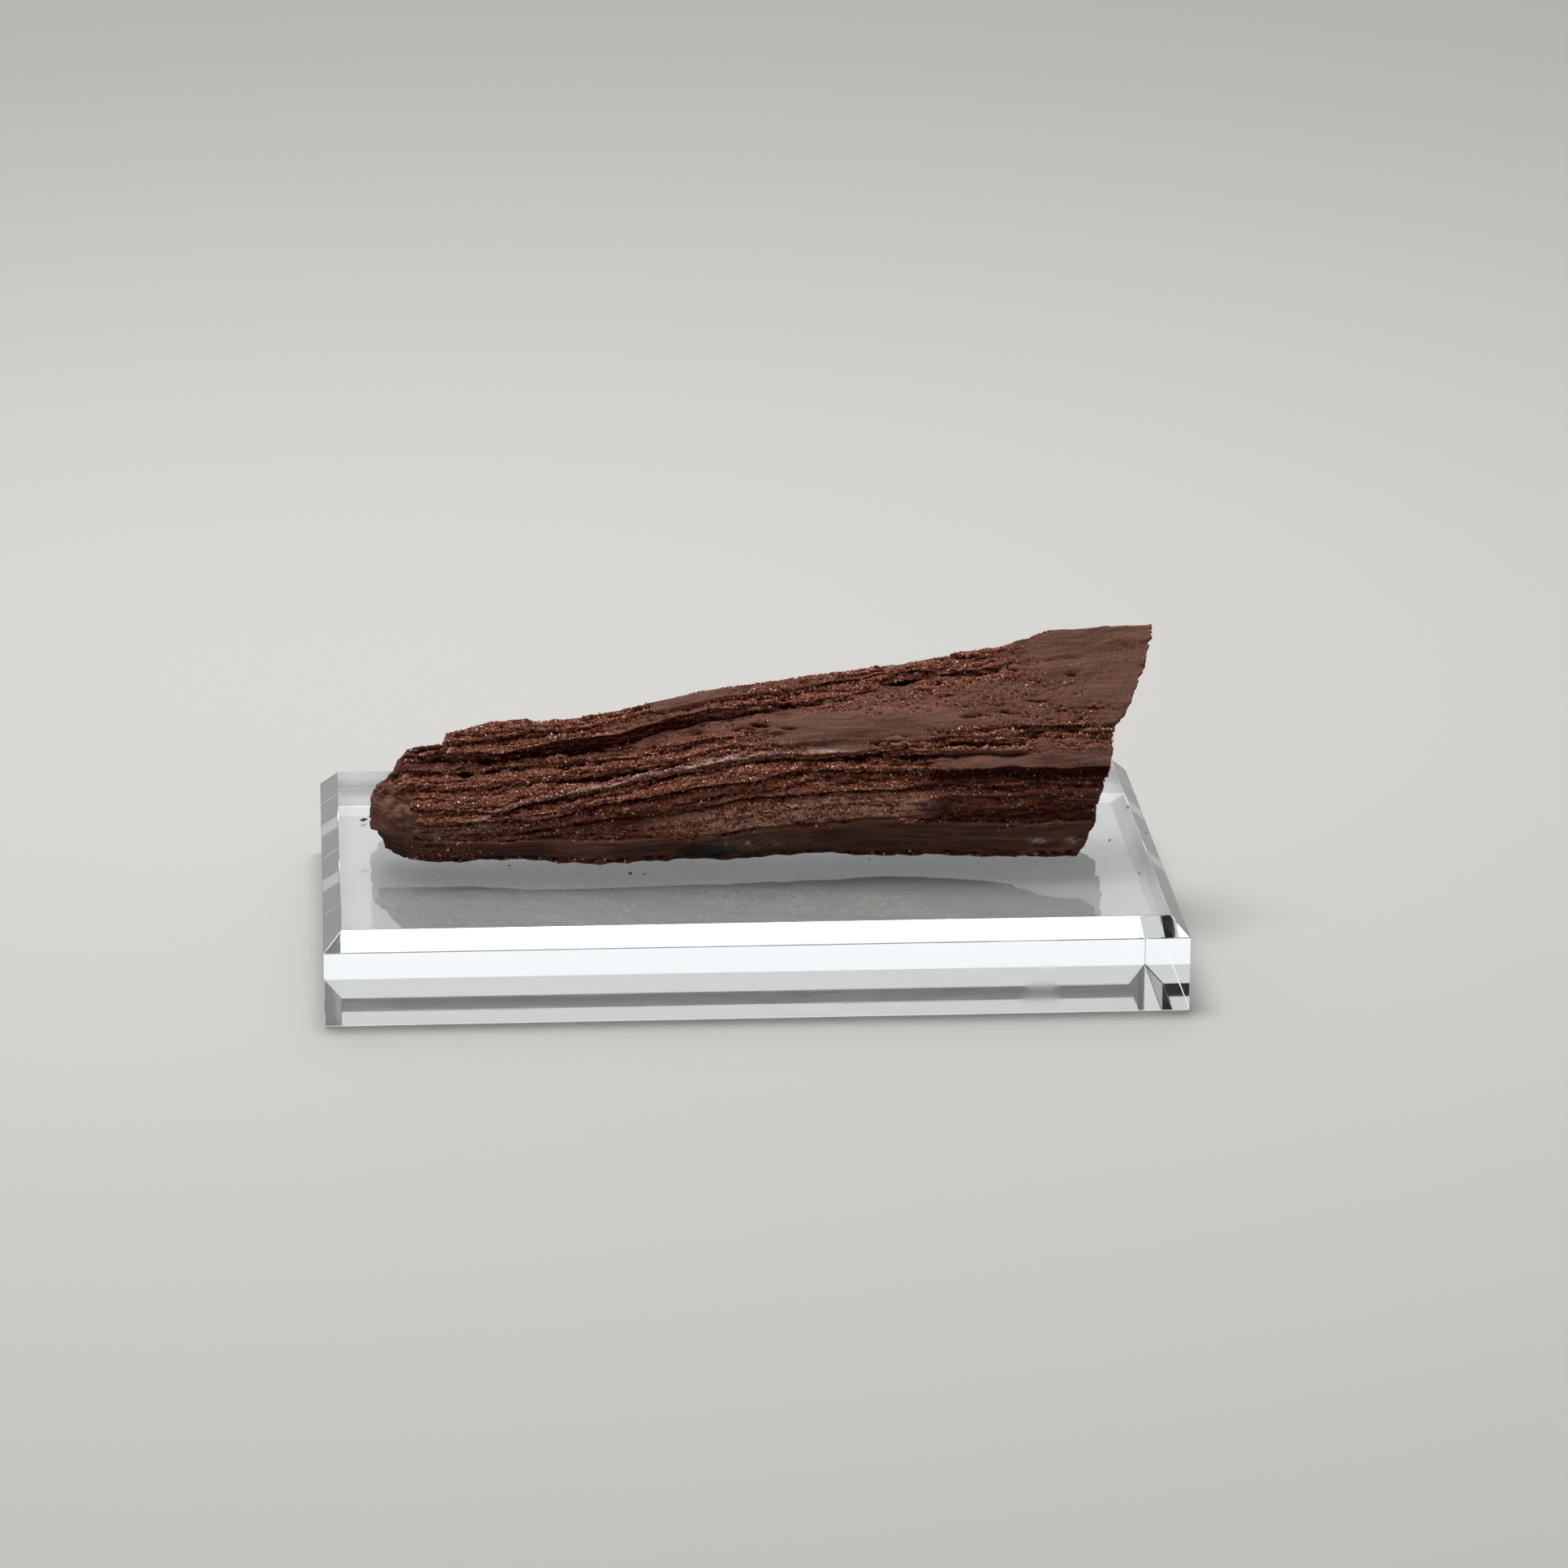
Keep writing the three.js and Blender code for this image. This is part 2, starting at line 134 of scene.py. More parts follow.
# Hairline scratches some 30 mm long, in three wiping directions, as (turn, seed). Real
# ones are finer still: these are 0.15 mm wide, as coarse as they need to be to show.
HAIR_CELLS = (30, 2600, 30)  # per metre: 33 mm along a scratch and 0.38 mm across it
HAIR_ROUGHNESS = 0.12
scratches = 0.0
for turn, seed in ((24, 1.0), (-38, 5.0), (81, 9.0)):
    lines = add(tree, "ShaderNodeMapping", Vector=place, Location=(0, 0, seed),
                Rotation=(0, 0, math.radians(turn)), Scale=HAIR_CELLS)
    noise = add(tree, "ShaderNodeTexNoise", Vector=lines.outputs[0], Scale=1.0, Detail=0.0)
    hair = add(tree, "ShaderNodeMapRange", Value=noise.outputs[0], From_Min=0.76, From_Max=0.80)
    both = add(tree, "ShaderNodeMath", {"operation": "MAXIMUM"}, i0=scratches, i1=hair.outputs[0])
    scratches = both.outputs[0]
HAZE_CLOUDS = 45.0  # per metre: 22 mm wide
haze = add(tree, "ShaderNodeTexNoise", Vector=place, Scale=HAZE_CLOUDS, Detail=3.0)
dull = add(tree, "ShaderNodeMapRange", Value=haze.outputs[0], From_Min=0.45, From_Max=0.75,
           To_Min=0.005, To_Max=0.035)
scuffed = add(tree, "ShaderNodeMath", {"operation": "MULTIPLY_ADD"}, i0=scratches,
              i1=HAIR_ROUGHNESS, i2=dull.outputs[0])
tree.links.new(scuffed.outputs[0], shader.inputs["Roughness"])
depth_tint = add(tree, "ShaderNodeVolumeAbsorption", Color=linear("#e4f3fb"), Density=1.2)
tree.links.new(depth_tint.outputs[0], tree.nodes["Material Output"].inputs["Volume"])
polished_block.data.materials.append(acrylic)

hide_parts("acrylic_block")
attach(polished_block, "root")


# ---------------------------------------------------------------------------
# Petrified wood. One fragment of silicified wood, red-brown from iron oxide, split along
# its grain by nature. The fine splitting, the fibres and the sugary crust are cut into a
# finer copy of the solid, whose layers they follow.
# ---------------------------------------------------------------------------
solid_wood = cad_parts["petrified_wood"]
BED = block_high.z / MM  # height of the block's top, which the wood lies on

# The lines that the layers of the split face follow, from the base up, as (x, height
# above the block) in mm. All but one end in a step.
LAYER_LINES = [
    [(-101, 4.5), (-92, 5.6), (-39, 6.1), (-10, 6.4), (9, 8.3), (26, 9.6), (45, 10.7),
     (64, 9.2), (114, 9)],
    [(-101, 7.4), (-76, 8), (-58, 8.4), (-44, 10.4), (-25, 12.4), (-10, 15), (4, 17),
     (27, 18.3), (46, 19.2), (70, 19.5), (114, 18.9)],
    [(-101, 9.8), (-80, 10.6), (-65, 11.5), (-54, 11.9), (-47, 13.2), (-39, 15.4),
     (-28, 17.6), (-12, 20), (4, 22), (15, 24), (33, 24), (46, 23.5), (72, 23.7), (98, 23.2),
     (114, 23)],
    [(-101, 12.4), (-76, 13), (-65, 14), (-60, 15.8), (-49, 17.6), (-35, 20.6), (-25, 23),
     (-12, 25.4), (-4, 26.8), (12, 27.8), (45, 28.2), (76, 28), (114, 27)],
    [(-101, 16.4), (-90, 18), (-73, 19.8), (-59, 21.2), (-46, 23), (-32, 24.6), (-17, 27.4),
     (-4, 29.4), (10, 30.3), (58, 30.5), (77, 30.6), (114, 31)],
    [(-101, 20.2), (-92, 21.5), (-79, 23.2), (-67, 24.2), (-44, 26.2), (-34, 27.3),
     (-21, 29.4), (-7, 31.6), (5, 32.7), (50, 32.6), (92, 33), (114, 32.8)],
    [(-101, 22.2), (-92, 23.5), (-44, 28.6), (-21, 32.3), (-7, 34.8), (5, 35.6), (20, 36.3),
     (50, 36.2), (70, 36), (92, 38), (114, 39)],
    [(-101, 23.8), (-92, 24.8), (-82, 26.2), (-66, 27.2), (-53, 28.6), (-42, 30.2),
     (-31, 31.9), (-19, 34.6), (-9, 36.8), (6, 37.8), (20, 38.8), (60, 41.4), (90, 44),
     (114, 46)],
    [(-101, 25.6), (-92, 26.4), (-82, 27.6), (-79, 29.4), (-63, 30.6), (-53, 31.4),
     (-40, 32.8), (-24, 35.8), (-9, 38.4), (6, 39.8), (21, 41.3), (32, 42.4), (42, 43.5),
     (48, 43.7), (63, 44.8), (73, 46), (90, 47.5), (114, 50)],
]
# Lines with a name, counted from 0: the ledge and the lower edge of the bare strip on the
# right, the line without a step, and the top of the deep crevice under the crest.
LEDGE_LINE, STRIP_LINE, STEPLESS_LINE, CREVICE_TOP = 1, 2, 6, 7
EDGE_WAVE_LENGTH, EDGE_WAVE_HEIGHT, EDGE_WAVE_SHIFT = 4.5, 0.25, 2.1
LAYER_HEIGHT = 5.0  # mean height of a layer, in mm

# How much of each layer the quartz crust covers along the grain, as (x, share), from
# the base up. Where it covers little the wood is bare and its split surface is smooth.
CRUST = [
    [(-95, 0.0), (-88, 0.5), (-74, 0.6), (-62, 0.05), (114, 0.0)],
    [(-92, 0.1), (-80, 0.7), (-55, 0.7), (44, 0.8), (54, 0.5), (90, 0.4), (114, 0.25)],
    [(-96, 0.1), (-82, 0.7), (-62, 1.0), (44, 1.0), (54, 0.5), (80, 0.35), (114, 0.3)],
    [(-96, 0.1), (-88, 0.8), (-60, 1.0), (50, 1.0), (54, 0.0), (114, 0.0)],
    [(-98, 0.5), (-84, 1.0), (2, 1.0), (12, 0.4), (24, 0.1), (34, 0.1), (39, 1.0), (76, 0.9),
     (81, 0.1), (86, 0.6), (100, 0.7), (114, 0.4)],
    [(-98, 0.9), (-4, 1.0), (8, 0.5), (14, 0.0), (50, 0.0), (58, 0.9), (94, 1.0), (108, 0.7),
     (114, 0.2)],
    [(-98, 0.9), (-94, 0.2), (-80, 0.2), (-74, 0.8), (-52, 0.8), (-42, 0.1), (-32, 0.1),
     (-24, 0.35), (-6, 0.35), (4, 0.4), (9, 0.0), (58, 0.0), (66, 0.3), (80, 0.4), (96, 0.5),
     (106, 0.05), (114, 0.0)],
    [(-98, 0.9), (-60, 0.6), (-40, 0.1), (-30, 0.1), (-22, 0.35), (-10, 0.9), (20, 0.7),
     (50, 0.45), (76, 0.35), (92, 0.2), (106, 0.0), (114, 0.0)],
    [(-98, 0.8), (-40, 0.9), (-30, 0.5), (-12, 0.5), (-4, 1.0), (30, 0.9), (70, 0.9), (80, 0.3),
     (96, 0.0), (114, 0.0)],
    [(-98, 0.9), (-30, 1.0), (-24, 0.05), (-3, 0.05), (4, 0.6), (34, 0.6), (42, 0.9), (76, 0.5),
     (84, 0.0), (114, 0.0)],
]


def read_points(mesh):
    flat = np.empty(len(mesh.vertices) * 3)
    mesh.vertices.foreach_get("co", flat)
    return flat.reshape(-1, 3) / MM


def read_normals(mesh):
    flat = np.empty(len(mesh.vertices) * 3)
    mesh.vertices.foreach_get("normal", flat)
    return flat.reshape(-1, 3)


def read_edges(mesh):
    pairs = np.empty(len(mesh.edges) * 2, dtype=np.int32)
    mesh.edges.foreach_get("vertices", pairs)
    return pairs.reshape(-1, 2)


def write_points(mesh, points):
    mesh.vertices.foreach_set("co", (points * MM).ravel())
    mesh.update()


def random_field(seed, *axes):
    """Smooth random values from -1 to 1, one for each place, by value noise."""
    places = np.stack(np.broadcast_arrays(*axes), axis=-1) + 1000.0
    cell = np.floor(places).astype(np.int64)
    part = places - cell
    ease = part * part * (3 - 2 * part)
    total = np.zeros(places.shape[:-1])
    for corner in itertools.product((0, 1), repeat=len(axes)):
        key = np.full(total.shape, seed * 7919, dtype=np.int64)
        share = np.ones(total.shape)
        for axis, upper in enumerate(corner):
            key = (key * 31337 + cell[..., axis] + upper) % 2147483647
            share *= ease[..., axis] if upper else 1 - ease[..., axis]
        key = (key * 48271) % 2147483647
        total += share * ((key * 16807 % 2147483647) / 1073741823.5 - 1)
    return total


def soft_step(value, start, end):
    t = np.clip((value - start) / (end - start), 0, 1)
    return t * t * (3 - 2 * t)


def between(value, start, full, fade, end):
    """1 from full to fade and 0 outside start and end, with soft borders."""
    return soft_step(value, start, full) * (1 - soft_step(value, fade, end))


def line_height(index, x):
    """Height of a layer's edge, with the small waves of a split edge."""
    shift = (index - (index > STEPLESS_LINE)) * EDGE_WAVE_SHIFT
    waves = np.sin(x / EDGE_WAVE_LENGTH + shift) + 0.5 * np.sin(2.7 * x / EDGE_WAVE_LENGTH + 2 * shift)
    return np.interp(x, *zip(*LAYER_LINES[index])) + EDGE_WAVE_HEIGHT * waves


def layer_of(x, height):
    """Which layer a place lies in: a whole number on a line, running on between them."""
    lines = [np.zeros_like(x)] + [line_height(index, x) for index in range(len(LAYER_LINES))]
    layer = np.zeros_like(x)
    for low, high in zip(lines, lines[1:]):
        layer += np.clip((height - low) / (high - low), 0, 1)
    return layer + np.clip(height - lines[-1], 0, None) / LAYER_HEIGHT


def crust_share(x, layer):
    """How much quartz covers a place, with uneven borders."""
    at = layer + 0.25 * random_field(11, x / 9, layer * 2) + 0.12 * random_field(12, x / 3, layer * 5)
    x = x + 5 * random_field(13, x / 14, layer * 1.3)
    shares = [np.interp(x, *zip(*row)) for row in CRUST]
    share = shares[0]
    for line in range(1, len(CRUST)):
        share = share + (shares[line] - shares[line - 1]) * soft_step(at, line - 0.12, line + 0.12)
    return np.clip(share, 0, 1)


def smoothed(values, pairs, rounds, held=None):
    """Each value drawn halfway to the mean of its neighbours, several times over."""
    columns = list(values.reshape(len(values), -1).T)
    count = np.bincount(pairs.ravel(), minlength=len(values))
    pull = np.where(count > 0, 0.5, 0.0) if held is None else np.where(held, 0.0, 0.5)
    for _ in range(rounds):
        for k, column in enumerate(columns):
            total = np.bincount(pairs[:, 0], column[pairs[:, 1]], len(column))
            total += np.bincount(pairs[:, 1], column[pairs[:, 0]], len(column))
            columns[k] = column + pull * (total / np.maximum(count, 1) - column)
    return np.stack(columns, axis=-1).reshape(values.shape)


# A closed copy of the solid, with its triangles joined into quads. The viewer's side is
# then split finely both along the grain and across it, the rest less so.
split_wood = bpy.data.objects.new("split_wood", solid_wood.data.copy())
bpy.context.scene.collection.objects.link(split_wood)
split_wood.data.materials.clear()
bpy.ops.object.select_all(action="DESELECT")
bpy.context.view_layer.objects.active = split_wood
split_wood.select_set(True)
JOINED_ANGLE = math.radians(70)
bpy.ops.object.mode_set(mode="EDIT")
bpy.ops.mesh.select_all(action="SELECT")
bpy.ops.mesh.remove_doubles(threshold=0.001 * MM)
bpy.ops.mesh.tris_convert_to_quads(face_threshold=JOINED_ANGLE, shape_threshold=JOINED_ANGLE)
bpy.ops.mesh.select_mode(type="EDGE")
bpy.ops.object.mode_set(mode="OBJECT")


def split_edges(along, front_only, longest, cuts):
    """Cuts the edges that run along the grain, or across it, and are too long."""
    mesh = split_wood.data
    points, pairs, facing = read_points(mesh), read_edges(mesh), read_normals(mesh)[:, 1]
    span = points[pairs[:, 1]] - points[pairs[:, 0]]
    length = np.linalg.norm(span, axis=1)
    chosen = (np.abs(span[:, 0]) > 0.6 * length) == along
    chosen &= length > longest
    if front_only:
        chosen &= facing[pairs].max(axis=1) < 0.25
    mesh.polygons.foreach_set("select", np.zeros(len(mesh.polygons), dtype=bool))
    mesh.vertices.foreach_set("select", np.zeros(len(mesh.vertices), dtype=bool))
    mesh.edges.foreach_set("select", chosen)
    bpy.ops.object.mode_set(mode="EDIT")
    bpy.ops.mesh.subdivide(number_cuts=cuts)
    bpy.ops.object.mode_set(mode="OBJECT")


split_edges(along=True, front_only=False, longest=1.2, cuts=2)
split_edges(along=False, front_only=False, longest=1.4, cuts=1)
split_edges(along=False, front_only=True, longest=0.8, cuts=1)
split_edges(along=True, front_only=True, longest=0.7, cuts=1)
split_edges(along=False, front_only=True, longest=0.52, cuts=1)

# Every 3 mm facet of the solid is rounded off along the grain, not across it, so that
# the edges of the layers stay sharp.
ROUNDING = 12
points = read_points(split_wood.data)
pairs = read_edges(split_wood.data)
span = points[pairs[:, 1]] - points[pairs[:, 0]]
grain_pairs = pairs[np.abs(span[:, 0]) > 0.8 * np.linalg.norm(span, axis=1)]
held = np.bincount(grain_pairs.ravel(), minlength=len(points)) != 2
held |= points[:, 2] < BED + 0.05
points = smoothed(points, grain_pairs, ROUNDING, held)

# The breaks in the top edge are drawn together, as (x, half width) in mm.
CREST_BREAKS = [(-80.7, 2.2), (-57.6, 1.6)]
for at, half in CREST_BREAKS:
    off = points[:, 0] - at
    near_crest = soft_step(points[:, 2] - BED - line_height(CREVICE_TOP, points[:, 0]), -0.5, 1.0)
    points[:, 0] -= 0.7 * off * near_crest * (1 - soft_step(np.abs(off), 0.8 * half, 1.8 * half))
write_points(split_wood.data, points)

# Where each place lies: its layer, the side it faces, and how far it is round the section,
# which the patterns on the back follow.
BACK_START = 90
normals = read_normals(split_wood.data)
x, y, height = points[:, 0], points[:, 1], points[:, 2] - BED
layer = layer_of(x, height)
front = soft_step(-normals[:, 1], -0.15, 0.2)
ends = soft_step(np.abs(normals[:, 0]), 0.45, 0.8)
side = front * (1 - ends)
rear = (1 - front) * (1 - ends)
around = np.where(front > 0.5, layer * LAYER_HEIGHT, BACK_START - layer * LAYER_HEIGHT + y)


def flecks(seed, length, width):
    """Random values over the face, in patches so long and so wide, in mm."""
    return random_field(seed, x / length, height / width)


def lumps(seed, size, stretch=1):
    """Random values through the stone, in lumps of a size, drawn out along the grain."""
    return random_field(seed, x / (stretch * size), y / size, height / size)


def hackly(swell, softness):
    """Random swells turned into flat facets between low steps."""
    return softness * swell + (1 - softness) * np.round(2.2 * swell) / 2.2


def from_spot(at_x, at_height, half_x, half_height):
    """Squared distance from a spot's centre: 1 on its rim."""
    return ((x - at_x) / half_x) ** 2 + ((height - at_height) / half_height) ** 2


def broad_directions(rounds):
    """The outward directions of the shape, smoothed over so many rounds."""
    directions = smoothed(read_normals(split_wood.data), pairs, rounds)
    return directions / (np.linalg.norm(directions, axis=1)[:, None] + 1e-9)


# Quartz crust on the face, and in loose patches on the back and the breaks. Where it is
# thickest it stands in coarse grains, elsewhere it is like fine sand. A row of it runs
# along the foot, and a slot over the bare strip on the right is full of it.
patches = random_field(21, x / 26, around / 7) + 0.4 * random_field(22, x / 6, around / 3)
patches = soft_step(patches, 0.0, 0.5)
crust = crust_share(x, layer) * side + 0.6 * patches * rear + 0.2 * patches * ends
foot_row = 1 - soft_step(height + 0.7 * flecks(23, 2.5, 1), 0.8, 1.6)
foot_row *= side * soft_step(np.abs(x + 2), 24, 32)
crust = np.maximum(crust * soft_step(height, 0.0, 1.0), 0.8 * foot_row)
slot = side * between(x, 52, 56, 78, 82) * between(height, 27.5, 28.1, 31.0, 31.6)
crust = np.maximum(crust, slot)
# Fibrous red wood low in the middle stands half bare.
fibrous = side * between(x, -40, -30, -14, -6) * between(layer, 1.5, 1.7, 2.1, 2.4)
crust *= 1 - 0.5 * fibrous
coarse = soft_step(crust + 0.3 * random_field(24, x / 3, layer * 3), 0.45, 0.9)
sandy = soft_step(crust, 0.05, 0.45)

# Low at the left end the crust has come off with a chip of the stone: flat, dull and bare
# up to this edge, as (height, x).
CHIP_EDGE = [(0, -92), (6.4, -90.5), (13.3, -89), (17, -91.5), (19.5, -96), (20.5, -104)]
chip_edge = np.interp(height, *zip(*CHIP_EDGE)) + 2.2 * flecks(25, 3, 2) + 1.5 * flecks(26, 1, 0.9)
chipped = side * soft_step(chip_edge - x, -0.8, 0.8)
coarse *= 1 - chipped
sandy *= 1 - chipped

# Where the stone is split into thin lamellae: in the crust, in the deep crevice under the
# crest, in red strips low down on the right and in one strip at the left end.
over_crevice = height - line_height(CREVICE_TOP, x)
crevice = side * between(x, -84, -66, -16, -4) * between(over_crevice, -5.2, -3.6, -0.4, 0.2)
strip_edge = line_height(STRIP_LINE, x)
red_strips = side * soft_step(x, 38, 48) * soft_step(height, 8.5, 10.5)
red_strips *= 1 - soft_step(height - strip_edge, -0.5, 0.0)
left_strip = side * between(x, -97, -93, -82, -74) * between(layer, 6.1, 6.3, 6.9, 7.1)
rough_share = 0.04 + np.maximum.reduce(
    [0.25 * sandy + 0.75 * coarse, 0.8 * crevice, 0.7 * red_strips, 0.6 * left_strip])
rough_share = np.clip(rough_share, 0, 1) * (1 - chipped) * side + 0.8 * (1 - side)

# From here on relief gathers how far each place is raised, in mm. First the layers' own
# edges: a sharp lip over a groove.
LIP_DEPTH, LIP_FALL = 0.8, 0.9
relief = np.zeros_like(x)
for index in range(1, len(LAYER_LINES)):
    if index != STEPLESS_LINE:
        below = line_height(index, x) - height
        groove = soft_step(below, -0.1, 0.25) * np.exp(-np.clip(below, 0, None) / LIP_FALL)
        relief -= LIP_DEPTH * groove * rough_share * side

# Under the bare strip on the right the stone lies well back, down to the next ledge.
UNDERCUT_DEPTH = 1.1
ledge = line_height(LEDGE_LINE, x) + 0.3
undercut = side * soft_step(x, 44, 66) * (1 - 0.85 * soft_step(x, 92, 99))
undercut *= between(height, ledge, ledge + 0.8, strip_edge - 0.3, strip_edge + 0.1)
undercut *= 0.75 + 0.4 * flecks(36, 9, 0.9)
relief -= UNDERCUT_DEPTH * undercut

# Thin lamellae between them, as (how many in a layer, depth, length, seed). Each starts
# and ends somewhere along the grain and stands out at its top edge, under which the stone
# lies back.
LAMELLAE = [(2.0, 1.2, 30, 31), (4.0, 0.9, 14, 35), (9.0, 0.3, 6, 39)]
LAMELLA_FALL = 0.35
for per_layer, depth, length, seed in LAMELLAE:
    drift = 0.6 * random_field(seed, x / length, layer * 0.8)
    drift += 0.2 * random_field(seed + 1, x / (0.3 * length), layer * 2)
    drift += 0.1 * coarse * random_field(seed + 2, x / 1.4, layer * 4)
    count = layer * per_layer + drift
    below = 1 - (count - np.floor(count))
    strength = soft_step(random_field(seed + 3, x / length, np.floor(count) * 3.7), -0.4, 0.5)
    relief -= rough_share * depth * strength * np.exp(-below / LAMELLA_FALL)

# The walls of the crevice are split thinner still, with dark lines between the sheets, which are painted
# shade.
sheets = 0.75 * height - 0.04 * x + 0.5 * flecks(46, 22, 5)
split_depth = 0.9 + 0.9 * random_field(47, x / 9, np.floor(sheets))
relief -= crevice * split_depth * np.exp((np.floor(sheets) - sheets) / 0.3)
wall_lines = random_field(48, x / 18, (height - 0.06 * x) / 0.7)

# Fibres: long fine ridges along the grain, as (length, width), and coarse splinters on the
# split back, as (length, width, depth).
for length, width in ((22, 1.6), (9, 0.8), (4, 0.5)):
    relief += 0.06 * side * random_field(41, x / length, around / width)
sway = 0.3 * random_field(45, x / 15, around / 9)
for length, width, depth in ((40, 7, 0.9), (22, 3.4, 0.7)):
    splinters = np.abs(random_field(44, x / length, around / width + sway))
    relief += rear * depth * (0.6 - 2.5 * splinters)

# Grains of the crust, coarse and fine, as (size, depth, seed), with gaps in the fine ones.
relief += coarse * (0.2 + 0.35 * random_field(50, x / 3.2, layer * 3.5))
for size, depth, seed in ((1.6, 0.24, 51), (0.9, 0.28, 52)):
    relief += coarse * depth * lumps(seed, size, stretch=2)
for size, depth, seed in ((1.1, 0.2, 54), (0.6, 0.18, 55)):
    relief += sandy * depth * lumps(seed, size)
relief -= 0.4 * sandy * soft_step(flecks(56, 1.3, 0.5), 0.4, 0.8)

# Two recesses on the right are mostly filled with crust, one under the crest and one over
# the bare strip's left end, as (x from, to, layer from, to).
RECESSES = [(31, 76, 8.1, 8.95), (32, 54, 3.35, 3.95)]
for from_x, to_x, from_layer, to_layer in RECESSES:
    recess = side * between(x, from_x - 5, from_x + 5, to_x - 4, to_x + 4)
    recess *= between(layer, from_layer - 0.1, from_layer + 0.2, to_layer - 0.05, to_layer + 0.05)
    relief += 0.8 * recess * (0.9 + flecks(58, 4, 0.8))

# Rot pits, as centre (x, height), half sizes along and across the grain, and depth. The
# last one is a knob of crust, which stands out.
PITS = [
    (91, 43.3, 1.9, 0.25, 0.5), (46.5, 43.1, 4.5, 0.6, 1.8),
    (12, 36.6, 3.5, 0.5, 1.8), (5, 33.4, 2.2, 0.35, 1.0), (12.5, 33.2, 2.5, 0.3, 0.6),
    (-75, 21.4, 1.9, 0.7, 2.4), (63, 35.3, 3.5, 0.3, 0.8), (70, 31.8, 2, 0.35, 0.8),
    (69, 30.8, 11, 0.55, 2.0), (85, 32.4, 8, 0.5, 2.0), (97, 31.2, 5, 0.4, 1.5),
    (41, 25.9, 13, 1.2, 1.3), (73, 35.7, 3, 0.3, 0.7), (81, 38.2, 4, 0.3, 0.6),
    (41.6, 30.0, 3.6, 1.3, -1.5),
]
for *spot, depth in PITS:
    off = from_spot(*spot) * (1 + 0.6 * flecks(57, 2, 0.8))
    relief -= side * depth * np.exp(-off ** 2)

# The breaks at both ends are hackly, the left one more so, as (size, depth, seed).
for size, depth, seed in ((9, 1.5, 61), (5, 0.8, 62)):
    relief += ends * depth * (0.5 + 0.5 * (x < 0)) * hackly(lumps(seed, size), 0.35)
relief += 0.15 * ends * lumps(63, 0.9)

# All this is raised outwards from the broad shape, and fades out at the base, where the
# stone has to stay on the block.
outward = broad_directions(16)
off_base = soft_step(height, 0.3, 2.5)
raised_share = np.stack([off_base, 0.35 + 0.65 * off_base, off_base], axis=-1)
moved = points + outward * relief[:, None] * raised_share

# The foot and the underside are rough too, and touch the block only here and there.
UNDER_GAP = 0.04
underside = height < 0.3
lift = UNDER_GAP + 0.5 * soft_step(random_field(71, x / 4, y / 3), -0.5, 1.0)
lift *= 1 - 0.8 * front
moved[:, 1] += front * (1 - off_base) * (flecks(72, 2.6, 1) + 0.5 * flecks(73, 1.1, 1))

# The left break: planes end the stone, as (outward direction, distance from the middle of
# the block's top, height up to which they reach). Two creases cross them, each as (x,
# height) at either end, and they are hackly, as (size, depth).
FACETS = [((-0.75, -0.66, 0), 77.1, 19), ((-0.33, -0.94, 0), 40.9, 16),
          ((-0.9, -0.35, 0.25), 94.4, 19), ((-0.6, -0.74, -0.3), 64.4, 8), ((-1, 0, 0), 98.9, 5.6)]
CREASES = [((-90, 18.5), (-98, 10)), ((-88, 13), (-97, 17.5))]
CREASE_DEPTH, CREASE_HALF = 0.5, 0.6
moved += chipped[:, None] * (smoothed(moved, pairs, 60) - moved)
for faces_to, distance, top in FACETS:
    direction = np.array(faces_to) / np.linalg.norm(faces_to)
    over = (moved - (0, 0, BED)) @ direction - distance
    over *= 1 - soft_step(height + 1.2 * flecks(74, 3, 3), top - 0.9, top)
    moved -= np.clip(over, 0, None)[:, None] * direction
for (x1, height1), (x2, height2) in CREASES:
    run, rise = x2 - x1, height2 - height1
    along = np.clip(((x - x1) * run + (height - height1) * rise) / (run ** 2 + rise ** 2), 0, 1)
    off = np.hypot(x - x1 - along * run, height - height1 - along * rise)
    off += 0.4 * flecks(76, 1.5, 1.5)
    moved -= outward * (CREASE_DEPTH * chipped * np.exp(-(off / CREASE_HALF) ** 2))[:, None]
for size, depth in ((2.8, 0.45), (1.3, 0.12)):
    moved += outward * (depth * chipped * hackly(lumps(75, size), 0.3))[:, None]

# The crest's corner at this end is square over a steep drop, as (x, rise). Lower down the
# chip stands out over a notch at the foot, as (height, how far).
CORNER = [(-103, 0), (-101.5, -1.6), (-98.8, -0.8), (-96, -1.3), (-93.5, -0.2), (-90.8, 1.0),
          (-86, 0.2), (-80, 0)]
NOTCH = [(5.4, 0), (5.9, 2.2), (6.5, 2.0), (7.6, 1.2), (9.2, 0.6), (12.4, 0.2), (15, 0)]
LEFT_END = -101.0
moved[:, 2] += np.interp(x, *zip(*CORNER)) * soft_step(height, 14, 18)
moved[:, 0] -= np.interp(height, *zip(*NOTCH)) * soft_step(-x, 89, 97)
moved[:, 0] = np.maximum(moved[:, 0], LEFT_END + 0.3 * random_field(77, y / 2, height / 2))

# Nothing sinks into the block or leaves the frame's box.
BOX_MARGIN = 0.02
low_corner = [v / MM + BOX_MARGIN for v in cad_box[0]]
high_corner = [v / MM - BOX_MARGIN for v in cad_box[1]]
moved[:, 2] = np.maximum(moved[:, 2], BED + UNDER_GAP)
moved[underside, 2] = BED + np.maximum(lift[underside], UNDER_GAP)
moved = np.clip(moved, low_corner, high_corner)
write_points(split_wood.data, moved)
